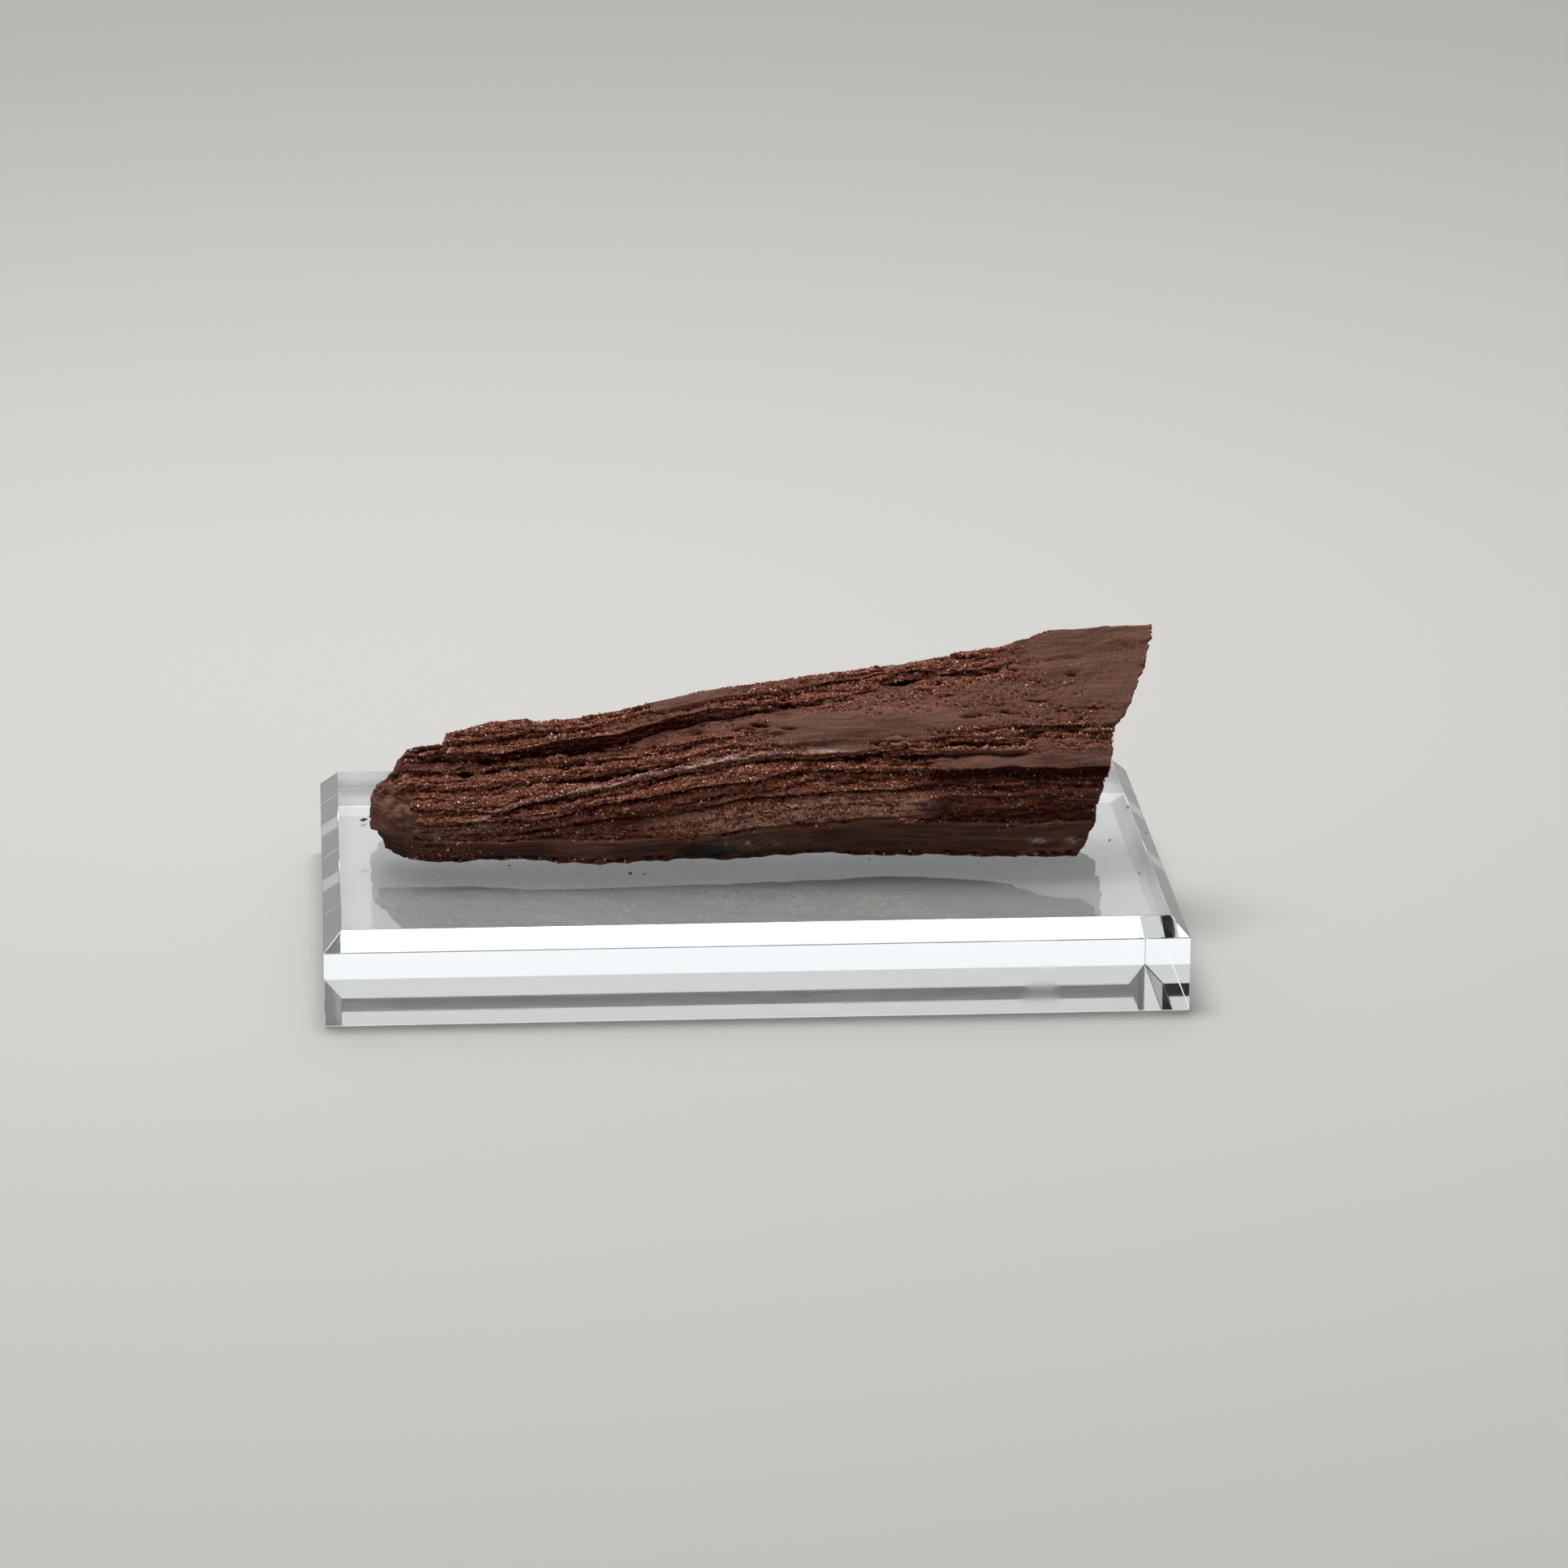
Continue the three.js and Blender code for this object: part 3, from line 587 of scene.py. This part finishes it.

# How deep each place lies among its neighbours, for painted shade in the crevices, and how
# far it stands out of them, for painted highlights on the ridges. The lit sandy band gets less painted
# shade.
facing = broad_directions(30)
fine_depth = np.einsum("ij,ij->i", smoothed(moved, pairs, 14) - moved, facing)
wide_depth = np.einsum("ij,ij->i", smoothed(moved, pairs, 160) - moved, facing)
# A sandy band facing up to the overhead light, painted lighter as painted light.
lit_sand_band = side * between(layer, 1.0, 1.1, 1.6, 2.0) * between(x, -32, -16, 40, 54)
hollow_shade = 0.9 * soft_step(fine_depth, 0.02, 0.34) + 0.75 * soft_step(wide_depth, 0.3, 2.0)
crevice_line_shade = crevice * (0.15 + 0.75 * soft_step(-wall_lines, 0.0, 0.5))
# The dark lines on the crevice walls and the row along the foot get painted shade as well; the undercut, the
# chip and the lit sand band get less of it.
hollow_shade = np.maximum.reduce([np.clip(hollow_shade, 0, 1), crevice_line_shade, 0.5 * foot_row]) * (1 - ends)
hollow_shade *= (1 - 0.7 * undercut) * (1 - 0.7 * chipped) * (1 - 0.45 * lit_sand_band)
# Painted highlight on the ridges that stand out, where the overhead light falls.
ridge_highlight = soft_step(-fine_depth, 0.03, 0.3) * (0.25 + 0.75 * coarse) * (1 - 0.6 * red_strips)

# The whitish vein of chalcedony that shows along one layer's edge, as (x, height), and how
# much of it shows, as (x, share).
VEIN = [(-74, 11.4), (-67, 13.7), (-60, 15.6), (-50.8, 17.2), (-42, 19.2), (-35, 20.6), (-25, 23),
        (-19, 24.2), (-12, 25.7), (-4, 27.2), (10, 27.7), (31, 28.3), (52, 29), (73, 28.4)]
VEIN_SHARE = [(-78, 0.0), (-70, 0.3), (-40, 0.35), (-26, 0.6), (-14, 0.9), (0, 0.95), (14, 0.6),
              (24, 0.45), (32, 0.2), (38, 0.0)]
vein_height = np.interp(x, *zip(*VEIN)) + 0.5 * random_field(81, x / 5, x * 0)
vein_share = 0.8 + 0.5 * flecks(82, 3, 0.7) + 0.9 * flecks(85, 0.9, 0.6)
vein_share *= np.interp(x, *zip(*VEIN_SHARE))
vein = side * (1 - soft_step(np.abs(height - vein_height), 0.1, 0.65)) * vein_share

# A grey-green stain and a few bruises low on the face, as centre (x, height), half sizes
# and share. The long faint bruise is wear.
STAINS = [(-10.5, 2.6, 10, 2.0, 1.0), (-30, 3.4, 9, 1.5, 0.3), (2, 1.9, 7, 1.0, 0.4)]
stain = np.zeros_like(x)
for *spot, share in STAINS:
    edge = 1.2 + 0.5 * flecks(83, 4, 0.8)
    stain = np.maximum(stain, share * side * (1 - soft_step(from_spot(*spot), 0.3 * edge, edge)))
BRUISES = [
    (-5.1, 4.6, 0.35, 1.2, 1), (0.9, 4.4, 0.9, 0.7, 1), (8.8, 3.3, 0.9, 0.35, 1),
    (7, 4.0, 12, 1.8, 0.25), (79.5, 4.4, 2.4, 0.7, 1), (89, 4.1, 1.6, 0.8, 1),
    (-83, 7.4, 1.4, 1.2, 1), (-79, 7.2, 1.8, 0.9, 1), (-70, 10, 3, 1.2, 1), (-88.6, 8.0, 1.0, 1.0, 1),
]
bruise = np.zeros_like(x)
for *spot, share in BRUISES:
    speckle = 0.5 + 0.9 * flecks(84, 0.9, 0.6)
    bruise = np.maximum(bruise, share * side * np.exp(-from_spot(*spot)) * speckle)


def give(mesh, name, values, kind="FLOAT"):
    """Stores one value for each vertex, which the material reads by its name."""
    stored = mesh.attributes.new(name, kind, "POINT").data
    key = "vector" if kind == "FLOAT_VECTOR" else "value"
    stored.foreach_set(key, np.ascontiguousarray(values, dtype=np.float32).ravel())


shares = {
    "crust": 0.2 * sandy + 0.8 * coarse, "sandy": sandy, "lit_sand_band": lit_sand_band, "split": 1 - front,
    # Dark red fibres, painted darker still as shade in the crevice and on the shaded lower face on the
    # right.
    "red_fibres_and_shade": np.maximum.reduce([red_strips, crevice, fibrous, left_strip]), "chipped": chipped,
    # The foot's darkening next to the block is painted shade.
    "base": (1 - soft_step(layer, 0.85, 1.0)) * (1 - chipped), "foot": 1 - soft_step(height, 0.5, 2.2),
    "hollow_shade": hollow_shade, "ridge_highlight": ridge_highlight, "vein": vein, "stain": stain, "bruise": bruise,
}
for name, share in shares.items():
    give(split_wood.data, name, np.clip(share, 0, 1))
give(split_wood.data, "grain", np.stack([x, around, y * 0], axis=-1), "FLOAT_VECTOR")


def lay_coats(tree, colour, coats):
    """Colours laid over a colour. Each coat is (where, from, to, share, colour): it grows
    between two values of a socket, or of a stored value by its name, up to its share."""
    for where, low, high, share, over in coats:
        if isinstance(where, str):
            where = add(tree, "ShaderNodeAttribute", {"attribute_name": where}).outputs["Fac"]
        amount = add(tree, "ShaderNodeMapRange", Value=where, From_Min=low, From_Max=high, To_Max=share)
        over = linear(over) if isinstance(over, str) else over
        mixed = add(tree, "ShaderNodeMix", {"data_type": "RGBA"}, i0=amount.outputs[0], i6=colour, i7=over)
        colour = mixed.outputs[2]
    return colour


# Silicified wood: chalcedony coloured by iron oxide. Dull and fibrous where it is split
# bare, glassy and sugary where quartz has grown on it.
stone, tree, shader = new_material("silicified_wood_jasper", IOR=1.54, Specular_IOR_Level=0.2)
grain = add(tree, "ShaderNodeAttribute", {"attribute_name": "grain"}).outputs["Vector"]
place = add(tree, "ShaderNodeTexCoord").outputs["Object"]
# Patterns along the grain, as (name, length, width in mm, detail): fibres, the broader
# bands of growth, and mottling.
pattern = {}
for name, length, width, detail in (("fibres", 15, 0.5, 3), ("bands", 40, 3.5, 2), ("mottle", 6, 0.8, 4)):
    drawn_out = add(tree, "ShaderNodeMapping", Vector=grain, Scale=(1 / length, 1 / width, 1))
    noise = add(tree, "ShaderNodeTexNoise", Vector=drawn_out.outputs[0], Scale=1.0, Detail=detail)
    pattern[name] = noise.outputs[0]
# Patterns through the stone, as (name, size in mm, detail).
for name, size, detail in (("specks", 0.5, 1), ("rust", 14, 3), ("blotches", 2.5, 3), ("sand", 0.35, 1)):
    noise = add(tree, "ShaderNodeTexNoise", Vector=place, Scale=1 / (size * MM), Detail=detail)
    pattern[name] = noise.outputs[0]
# Quartz grains of 0.65 mm.
grains = add(tree, "ShaderNodeTexVoronoi", Vector=place, Scale=1 / (0.65 * MM))
grain_tone = add(tree, "ShaderNodeSeparateColor", Color=grains.outputs["Color"]).outputs[0]

bare = lay_coats(tree, linear("#523226"), [
    (pattern["fibres"], 0.3, 0.7, 1.0, "#6b4436"),
    (pattern["bands"], 0.35, 0.7, 0.5, "#4c382f"),
    (pattern["mottle"], 0.5, 0.75, 0.4, "#855a4a"),
    (pattern["mottle"], 0.5, 0.25, 0.4, "#3f241b"),
    (pattern["specks"], 0.5, 0.7, 0.3, "#94695a"),
    (pattern["specks"], 0.5, 0.3, 0.3, "#38211a")])
sugary = lay_coats(tree, linear("#401307"), [
    (grain_tone, 0, 1, 1.0, "#9b5a42"),
    (pattern["rust"], 0.55, 0.7, 0.3, "#85481f")])
# Red fibres, whose near-black tone is painted shade in the crevice and low on the right.
red_fibre_and_shade_tone = lay_coats(tree, linear("#1c0301"), [(pattern["fibres"], 0.42, 0.6, 1.0, "#602719")])
# Pale sand for that band: painted light where it faces up to the lamp.
lit_sand_tone = lay_coats(tree, linear("#b26d55"), [(grain_tone, 0, 1, 1.0, "#efbda7")])
base_streaks = lay_coats(tree, linear("#21100b"), [(pattern["fibres"], 0.35, 0.65, 1.0, "#5c382c")])
chip_tone = lay_coats(tree, linear("#4c2e20"), [(pattern["blotches"], 0.4, 0.6, 1.0, "#7a5644")])
# Painted light and shade lie over the stone's own colours: the lit sand band and the ridges are painted
# lighter, the crevice, the hollows and the foot darker.
colour = lay_coats(tree, bare, [
    ("crust", 0, 1, 1.0, sugary),
    ("red_fibres_and_shade", 0, 1, 0.85, red_fibre_and_shade_tone),
    ("lit_sand_band", 0, 1, 0.8, lit_sand_tone),
    # Painted highlight on the ridges.
    ("ridge_highlight", 0, 1, 0.55, "#a66c55"),
    ("base", 0, 1, 0.6, base_streaks),
    ("chipped", 0, 1, 0.8, chip_tone),
    # Painted shade along the foot, where it meets the block.
    ("foot", 0, 1, 0.5, "#240b06"),
    ("stain", 0, 1, 0.95, "#1f211d"),
    # Painted shade in the hollows, dark red.
    ("hollow_shade", 0, 1, 1.0, "#330501"),
    ("vein", 0, 1, 0.9, "#c4b6ae"),
    ("bruise", 0, 1, 1.0, "#a88f83")])
tree.links.new(colour, shader.inputs["Base Color"])

# Single grains of the crust are glassy. The hollows, which carry the painted shade, take
# less shine.
crusted, in_hollow_shade, split_back, sandy_share = (
    add(tree, "ShaderNodeAttribute", {"attribute_name": name}).outputs["Fac"]
    for name in ("crust", "hollow_shade", "split", "sandy"))
glassy = add(tree, "ShaderNodeMath", {"operation": "MULTIPLY"}, i0=crusted, i1=grain_tone)
roughness = add(tree, "ShaderNodeMapRange", Value=glassy.outputs[0], To_Min=0.8, To_Max=0.4)
tree.links.new(roughness.outputs[0], shader.inputs["Roughness"])
shine = add(tree, "ShaderNodeMapRange", Value=in_hollow_shade, To_Min=0.2, To_Max=0.02)
tree.links.new(shine.outputs[0], shader.inputs["Specular IOR Level"])
# Fibres, sand and grains are also felt as fine bumps, one over the other. The sand is
# drawn 0.35 mm coarse, so that it shows.
fibre_depth = add(tree, "ShaderNodeMapRange", Value=split_back, To_Min=0.12 * MM, To_Max=0.5 * MM)
fibre_bump = add(tree, "ShaderNodeBump", Height=pattern["fibres"], Distance=fibre_depth.outputs[0],
                 Strength=0.8)
sand_depth = add(tree, "ShaderNodeMapRange", Value=sandy_share, To_Min=0.06 * MM, To_Max=0.35 * MM)
sand_bump = add(tree, "ShaderNodeBump", Height=pattern["sand"], Distance=sand_depth.outputs[0],
                Strength=0.9, Normal=fibre_bump.outputs[0])
from_grain = add(tree, "ShaderNodeMath", {"operation": "MULTIPLY"}, i0=grains.outputs["Distance"],
                 i1=crusted)
grain_bump = add(tree, "ShaderNodeBump", Height=from_grain.outputs[0], Distance=-0.3 * MM,
                 Strength=0.8, Normal=sand_bump.outputs[0])
tree.links.new(grain_bump.outputs[0], shader.inputs["Normal"])
split_wood.data.materials.append(stone)
# The grains of the crust and the chip have flat faces, the bare wood is rounded.
flat_share = np.maximum(coarse, chipped)
for face in split_wood.data.polygons:
    face.use_smooth = bool(flat_share[list(face.vertices)].mean() < 0.5)

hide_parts("petrified_wood")
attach(split_wood, "root")


# ---------------------------------------------------------------------------
# Quartz crust. Thousands of short quartz points, grown on the split layers with their
# roots in the stone. Most are stained by the iron oxide under them, some are pale, partly
# as painted sparkle, and a few are clear, and these catch the light.
# ---------------------------------------------------------------------------
wood_mesh = split_wood.data
wood_mesh.calc_loop_triangles()
corners = np.empty(len(wood_mesh.loop_triangles) * 3, dtype=np.int32)
wood_mesh.loop_triangles.foreach_get("vertices", corners)
corners = corners.reshape(-1, 3)
corner_places = moved[corners]
face_normals = np.cross(corner_places[:, 1] - corner_places[:, 0], corner_places[:, 2] - corner_places[:, 0])
face_areas = np.linalg.norm(face_normals, axis=1) / 2
face_normals /= 2 * face_areas[:, None] + 1e-12
POINT_TILT = 0.45  # how far a point leans off the surface's normal
ROOT_RISE, ROOT_DEPTH = 0.25, 1.1  # the widest ring and the buried end, in radii


def quartz_points(name, count, chance, width, material, seed, sides=6):
    """Points with so many sides, more where the chance is higher; width is (least, most)."""
    random = np.random.default_rng(seed)
    weight = chance[corners].mean(axis=1) * face_areas
    chosen = random.choice(len(corners), count, p=weight / weight.sum())
    share = random.dirichlet((1, 1, 1), count)
    roots = np.einsum("ij,ijk->ik", share, corner_places[chosen])
    axes = face_normals[chosen] + random.normal(0, POINT_TILT, (count, 3))
    axes /= np.linalg.norm(axes, axis=1)[:, None]
    across = np.cross(axes, random.normal(0, 1, (count, 3)))
    across /= np.linalg.norm(across, axis=1)[:, None]
    along = np.cross(axes, across)
    radius = random.uniform(*width, count) / 2 * (0.75 + 0.5 * random.random(count))
    rise = radius * random.uniform(0.9, 1.7, count)
    rim = roots + axes * (ROOT_RISE * radius)[:, None]
    turn = np.arange(sides)[None, :, None] * math.tau / sides
    spokes = np.cos(turn) * across[:, None] + np.sin(turn) * along[:, None]
    ring = rim[:, None] + radius[:, None, None] * spokes
    tips = rim + axes * rise[:, None]
    buried = rim - axes * (ROOT_DEPTH * radius)[:, None]
    made = np.concatenate([ring, tips[:, None], buried[:, None]], axis=1)
    made = np.clip(made, low_corner, high_corner)
    made[..., 2] = np.maximum(made[..., 2], BED + UNDER_GAP)
    steps = [(k, (k + 1) % sides) for k in range(sides)]
    shape = np.array([(a, b, sides) for a, b in steps] + [(b, a, sides + 1) for a, b in steps])
    faces = (shape[None] + (sides + 2) * np.arange(count)[:, None, None]).reshape(-1, 3)
    mesh = bpy.data.meshes.new(name)
    mesh.from_pydata((made.reshape(-1, 3) * MM).tolist(), [], faces.tolist())
    # Each point carries, as its depth, the painted shade of the hollow it stands in.
    for attribute, values in (("tone", random.random(count)), ("depth", hollow_shade[corners[chosen, 0]]),
                              ("pale", np.clip(vein + bruise, 0, 1)[corners[chosen, 0]])):
        give(mesh, attribute, np.repeat(values, sides + 2))
    mesh.materials.append(material)
    piece = bpy.data.objects.new(name, mesh)
    bpy.context.scene.collection.objects.link(piece)
    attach(piece, "root")


# Iron-stained quartz, as grown: glassy faces, rust brown from within, one in ten pale, these partly as
# painted sparkle.
stained_quartz, tree, shader = new_material(
    "quartz_iron_stained", IOR=1.54, Roughness=0.2, Specular_IOR_Level=0.3)
place = add(tree, "ShaderNodeTexCoord").outputs["Object"]
rust = add(tree, "ShaderNodeTexNoise", Vector=place, Scale=1 / (14 * MM), Detail=3.0).outputs[0]
body = lay_coats(tree, linear("#4e1909"), [
    ("tone", 0.0, 0.9, 1.0, "#aa6549"),
    # Pale points, partly painted sparkle.
    ("tone", 0.90, 0.93, 1.0, "#e8c9b7"),
    (rust, 0.55, 0.7, 0.25, "#94501f"),
    # Points in the hollows take the stone's painted shade.
    ("depth", 0, 1, 0.85, "#330501"),
    ("pale", 0, 1, 0.8, "#bfb1aa")])
tree.links.new(body, shader.inputs["Base Color"])

# Clear quartz, as grown: it lets a part of the stone show through and glints.
clear_quartz, tree, shader = new_material(
    "quartz_clear", Base_Color=linear("#f6dfd0"), IOR=1.54, Roughness=0.08, Transmission_Weight=0.25)

# The points stand in streaks along the layers, thickest on the coarse crust. Quartz grows
# six-sided, and the fine points have three sides, which is all that shows of them. Real
# ones go down to dust: the finest here are 0.2 mm wide, so that they show.
streaks = random_field(91, x / 12, layer * 4) + 0.5 * random_field(92, x / 2, layer * 9)
streaks = 0.25 + soft_step(streaks, -0.2, 0.6)
grown = coarse * (1 - 0.75 * np.clip(hollow_shade, 0, 1)) * streaks
fine_chance = (grown + 0.55 * sandy * streaks) * side
clear_chance = grown + (0.15 * sandy + 0.25 * undercut) * streaks
quartz_points("crust_quartz", 9000, grown * side, (0.4, 0.72), stained_quartz, 101)
quartz_points("crust_quartz_back", 14000, grown * (1 - side), (0.3, 0.55), stained_quartz, 102)
quartz_points("fine_quartz", 32000, fine_chance, (0.28, 0.5), stained_quartz, 103, sides=3)
quartz_points("clear_quartz", 2400, clear_chance, (0.2, 0.42), clear_quartz, 104)


# ---------------------------------------------------------------------------
# Crumbs. Bits of the stone that have come off it and lie loose on the block, the longest
# beside its left end. Nothing holds them.
# ---------------------------------------------------------------------------
CRUMBS = [  # (x, y, half length, turn in degrees) in mm
    (-31.5, -28.3, 1.0, 60), (-27.6, -28.5, 0.5, 10), (-63.7, -19.2, 0.6, 35), (-38.1, -34.4, 0.4, 80),
    (100.5, -5.5, 0.4, 20), (105.2, -35.6, 0.4, 50), (111.0, -0.2, 0.5, 70), (109.0, 24.8, 0.5, 0),
    (-102.4, 23.5, 1.3, 25), (-100.2, 22.6, 0.6, 100),
]
DUST_SPREAD = [(-30, -25, 20, 26), (55, -24, 22, 12), (104, -4, 5, 5)]  # (x, y, scatter, count)
CRUMB_GAP = 0.01
crumb_random = np.random.default_rng(7)
crumb_points, crumb_faces = [], []


def add_crumb(centre, half_sizes, turn):
    """A broken chip: a lumpy octahedron lying on the block."""
    start = len(crumb_points)
    for axis, sign in itertools.product(range(3), (-1, 1)):
        point = crumb_random.normal(0, 0.22, 3)
        point[axis] += sign
        point = point * half_sizes
        turned_x = point[0] * math.cos(turn) - point[1] * math.sin(turn)
        turned_y = point[0] * math.sin(turn) + point[1] * math.cos(turn)
        up = BED + CRUMB_GAP + max(0.0, point[2] + half_sizes[2])
        crumb_points.append(((centre[0] + turned_x) * MM, (centre[1] + turned_y) * MM, up * MM))
    for a, b, c in itertools.product((0, 1), (2, 3), (4, 5)):
        crumb_faces.append((start + a, start + b, start + c))


for at_x, at_y, half, turn in CRUMBS:
    add_crumb((at_x, at_y), half * np.array([1.1, 0.6, 0.5]), math.radians(turn))
for at_x, at_y, scatter, count in DUST_SPREAD:
    for _ in range(count):
        half = crumb_random.gamma(2.0, 0.05) + 0.06
        centre = (at_x + scatter * crumb_random.normal(0, 1),
                  at_y + 0.35 * scatter * crumb_random.normal(0, 1))
        if abs(centre[0]) < 108 and -70 < centre[1] < 70:
            add_crumb(centre, half * np.array([1.6, 1.0, 0.7]), crumb_random.uniform(0, math.pi))

crumbs_mesh = bpy.data.meshes.new("crumbs")
crumbs_mesh.from_pydata(crumb_points, [], crumb_faces)
crumbs = bpy.data.objects.new("crumbs", crumbs_mesh)
bpy.context.scene.collection.objects.link(crumbs)
bpy.ops.object.select_all(action="DESELECT")
bpy.context.view_layer.objects.active = crumbs
crumbs.select_set(True)
bpy.ops.object.mode_set(mode="EDIT")
bpy.ops.mesh.select_all(action="SELECT")
bpy.ops.mesh.normals_make_consistent(inside=False)
bpy.ops.object.mode_set(mode="OBJECT")

# Broken jasper: dull, fresh and dark, mottled at 0.6 mm.
chip, tree, shader = new_material("jasper_chip", IOR=1.54, Roughness=0.6)
place = add(tree, "ShaderNodeTexCoord").outputs["Object"]
mottling = add(tree, "ShaderNodeTexNoise", Vector=place, Scale=1 / (0.6 * MM), Detail=2.0).outputs[0]
fresh_break = lay_coats(tree, linear("#2e0f0a"), [(mottling, 0.35, 0.65, 1.0, "#5c2c20")])
tree.links.new(fresh_break, shader.inputs["Base Color"])
crumbs_mesh.materials.append(chip)
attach(crumbs, "root")


# ---------------------------------------------------------------------------
# Studio. A pale paper floor, a large soft light overhead, a weak fill from the front, two
# soft lights behind the block, whose faces show them, and the camera.
# ---------------------------------------------------------------------------
FLOOR_HALF = 4.0
bpy.ops.object.select_all(action="DESELECT")
bpy.ops.mesh.primitive_plane_add(size=2 * FLOOR_HALF, location=(0, 0, -0.05 * MM))
floor = bpy.context.active_object
floor.name = "floor"
# Matt paper: plain and without shine.
paper, tree, shader = new_material("matt_paper", Base_Color=linear("#b6b5b2"), Roughness=0.85)
floor.data.materials.append(paper)

LIGHTS = [  # (name, size, where it stands, where it points, watts), in metres
    ("overhead", (0.8, 0.6), (-0.15, 0.25, 1.3), (0, 0, 0.03), 18),
    ("front_fill", (1.6, 1.0), (0.4, -1.9, 1.5), (0, 0, 0.03), 4),
    ("rear", (2.4, 1.2), (0, 1.7, 1.55), (0, 0, 0.03), 11),
    ("rear_low", (3.2, 1.2), (0, 2.4, 0.62), (0, 0, 0.6), 9),
]
for name, size, stand, aim, power in LIGHTS:
    lamp = bpy.data.lights.new(name, "AREA")
    lamp.shape = "RECTANGLE"
    lamp.size, lamp.size_y = size
    lamp.energy = power
    lamp_object = bpy.data.objects.new(name, lamp)
    lamp_object.location = stand
    lamp_object.rotation_euler = (Vector(aim) - Vector(stand)).to_track_quat("-Z", "Y").to_euler()
    bpy.context.scene.collection.objects.link(lamp_object)

room = bpy.data.worlds.new("room")
bpy.context.scene.world = room
room.use_nodes = True
room.node_tree.nodes["Background"].inputs["Color"].default_value = linear("#ececeb")
room.node_tree.nodes["Background"].inputs["Strength"].default_value = 0.32

bpy.context.scene.view_settings.view_transform = "Standard"

LENS = 164.0
CAMERA_PLACE = (-115.07 * MM, -1855.90 * MM, 610.58 * MM)
CAMERA_PAN, CAMERA_PITCH, CAMERA_ROLL = -3.908, 17.020, 0.169  # degrees: right, down, tilt
camera_data = bpy.data.cameras.new("camera")
camera_data.lens = LENS
camera_data.sensor_width = 36.0
camera = bpy.data.objects.new("camera", camera_data)
camera.matrix_world = (
    Matrix.Translation(CAMERA_PLACE)
    @ Matrix.Rotation(math.radians(CAMERA_PAN), 4, "Z")
    @ Matrix.Rotation(math.radians(90 - CAMERA_PITCH), 4, "X")
    @ Matrix.Rotation(math.radians(CAMERA_ROLL), 4, "Z"))
bpy.context.scene.collection.objects.link(camera)
bpy.context.scene.camera = camera
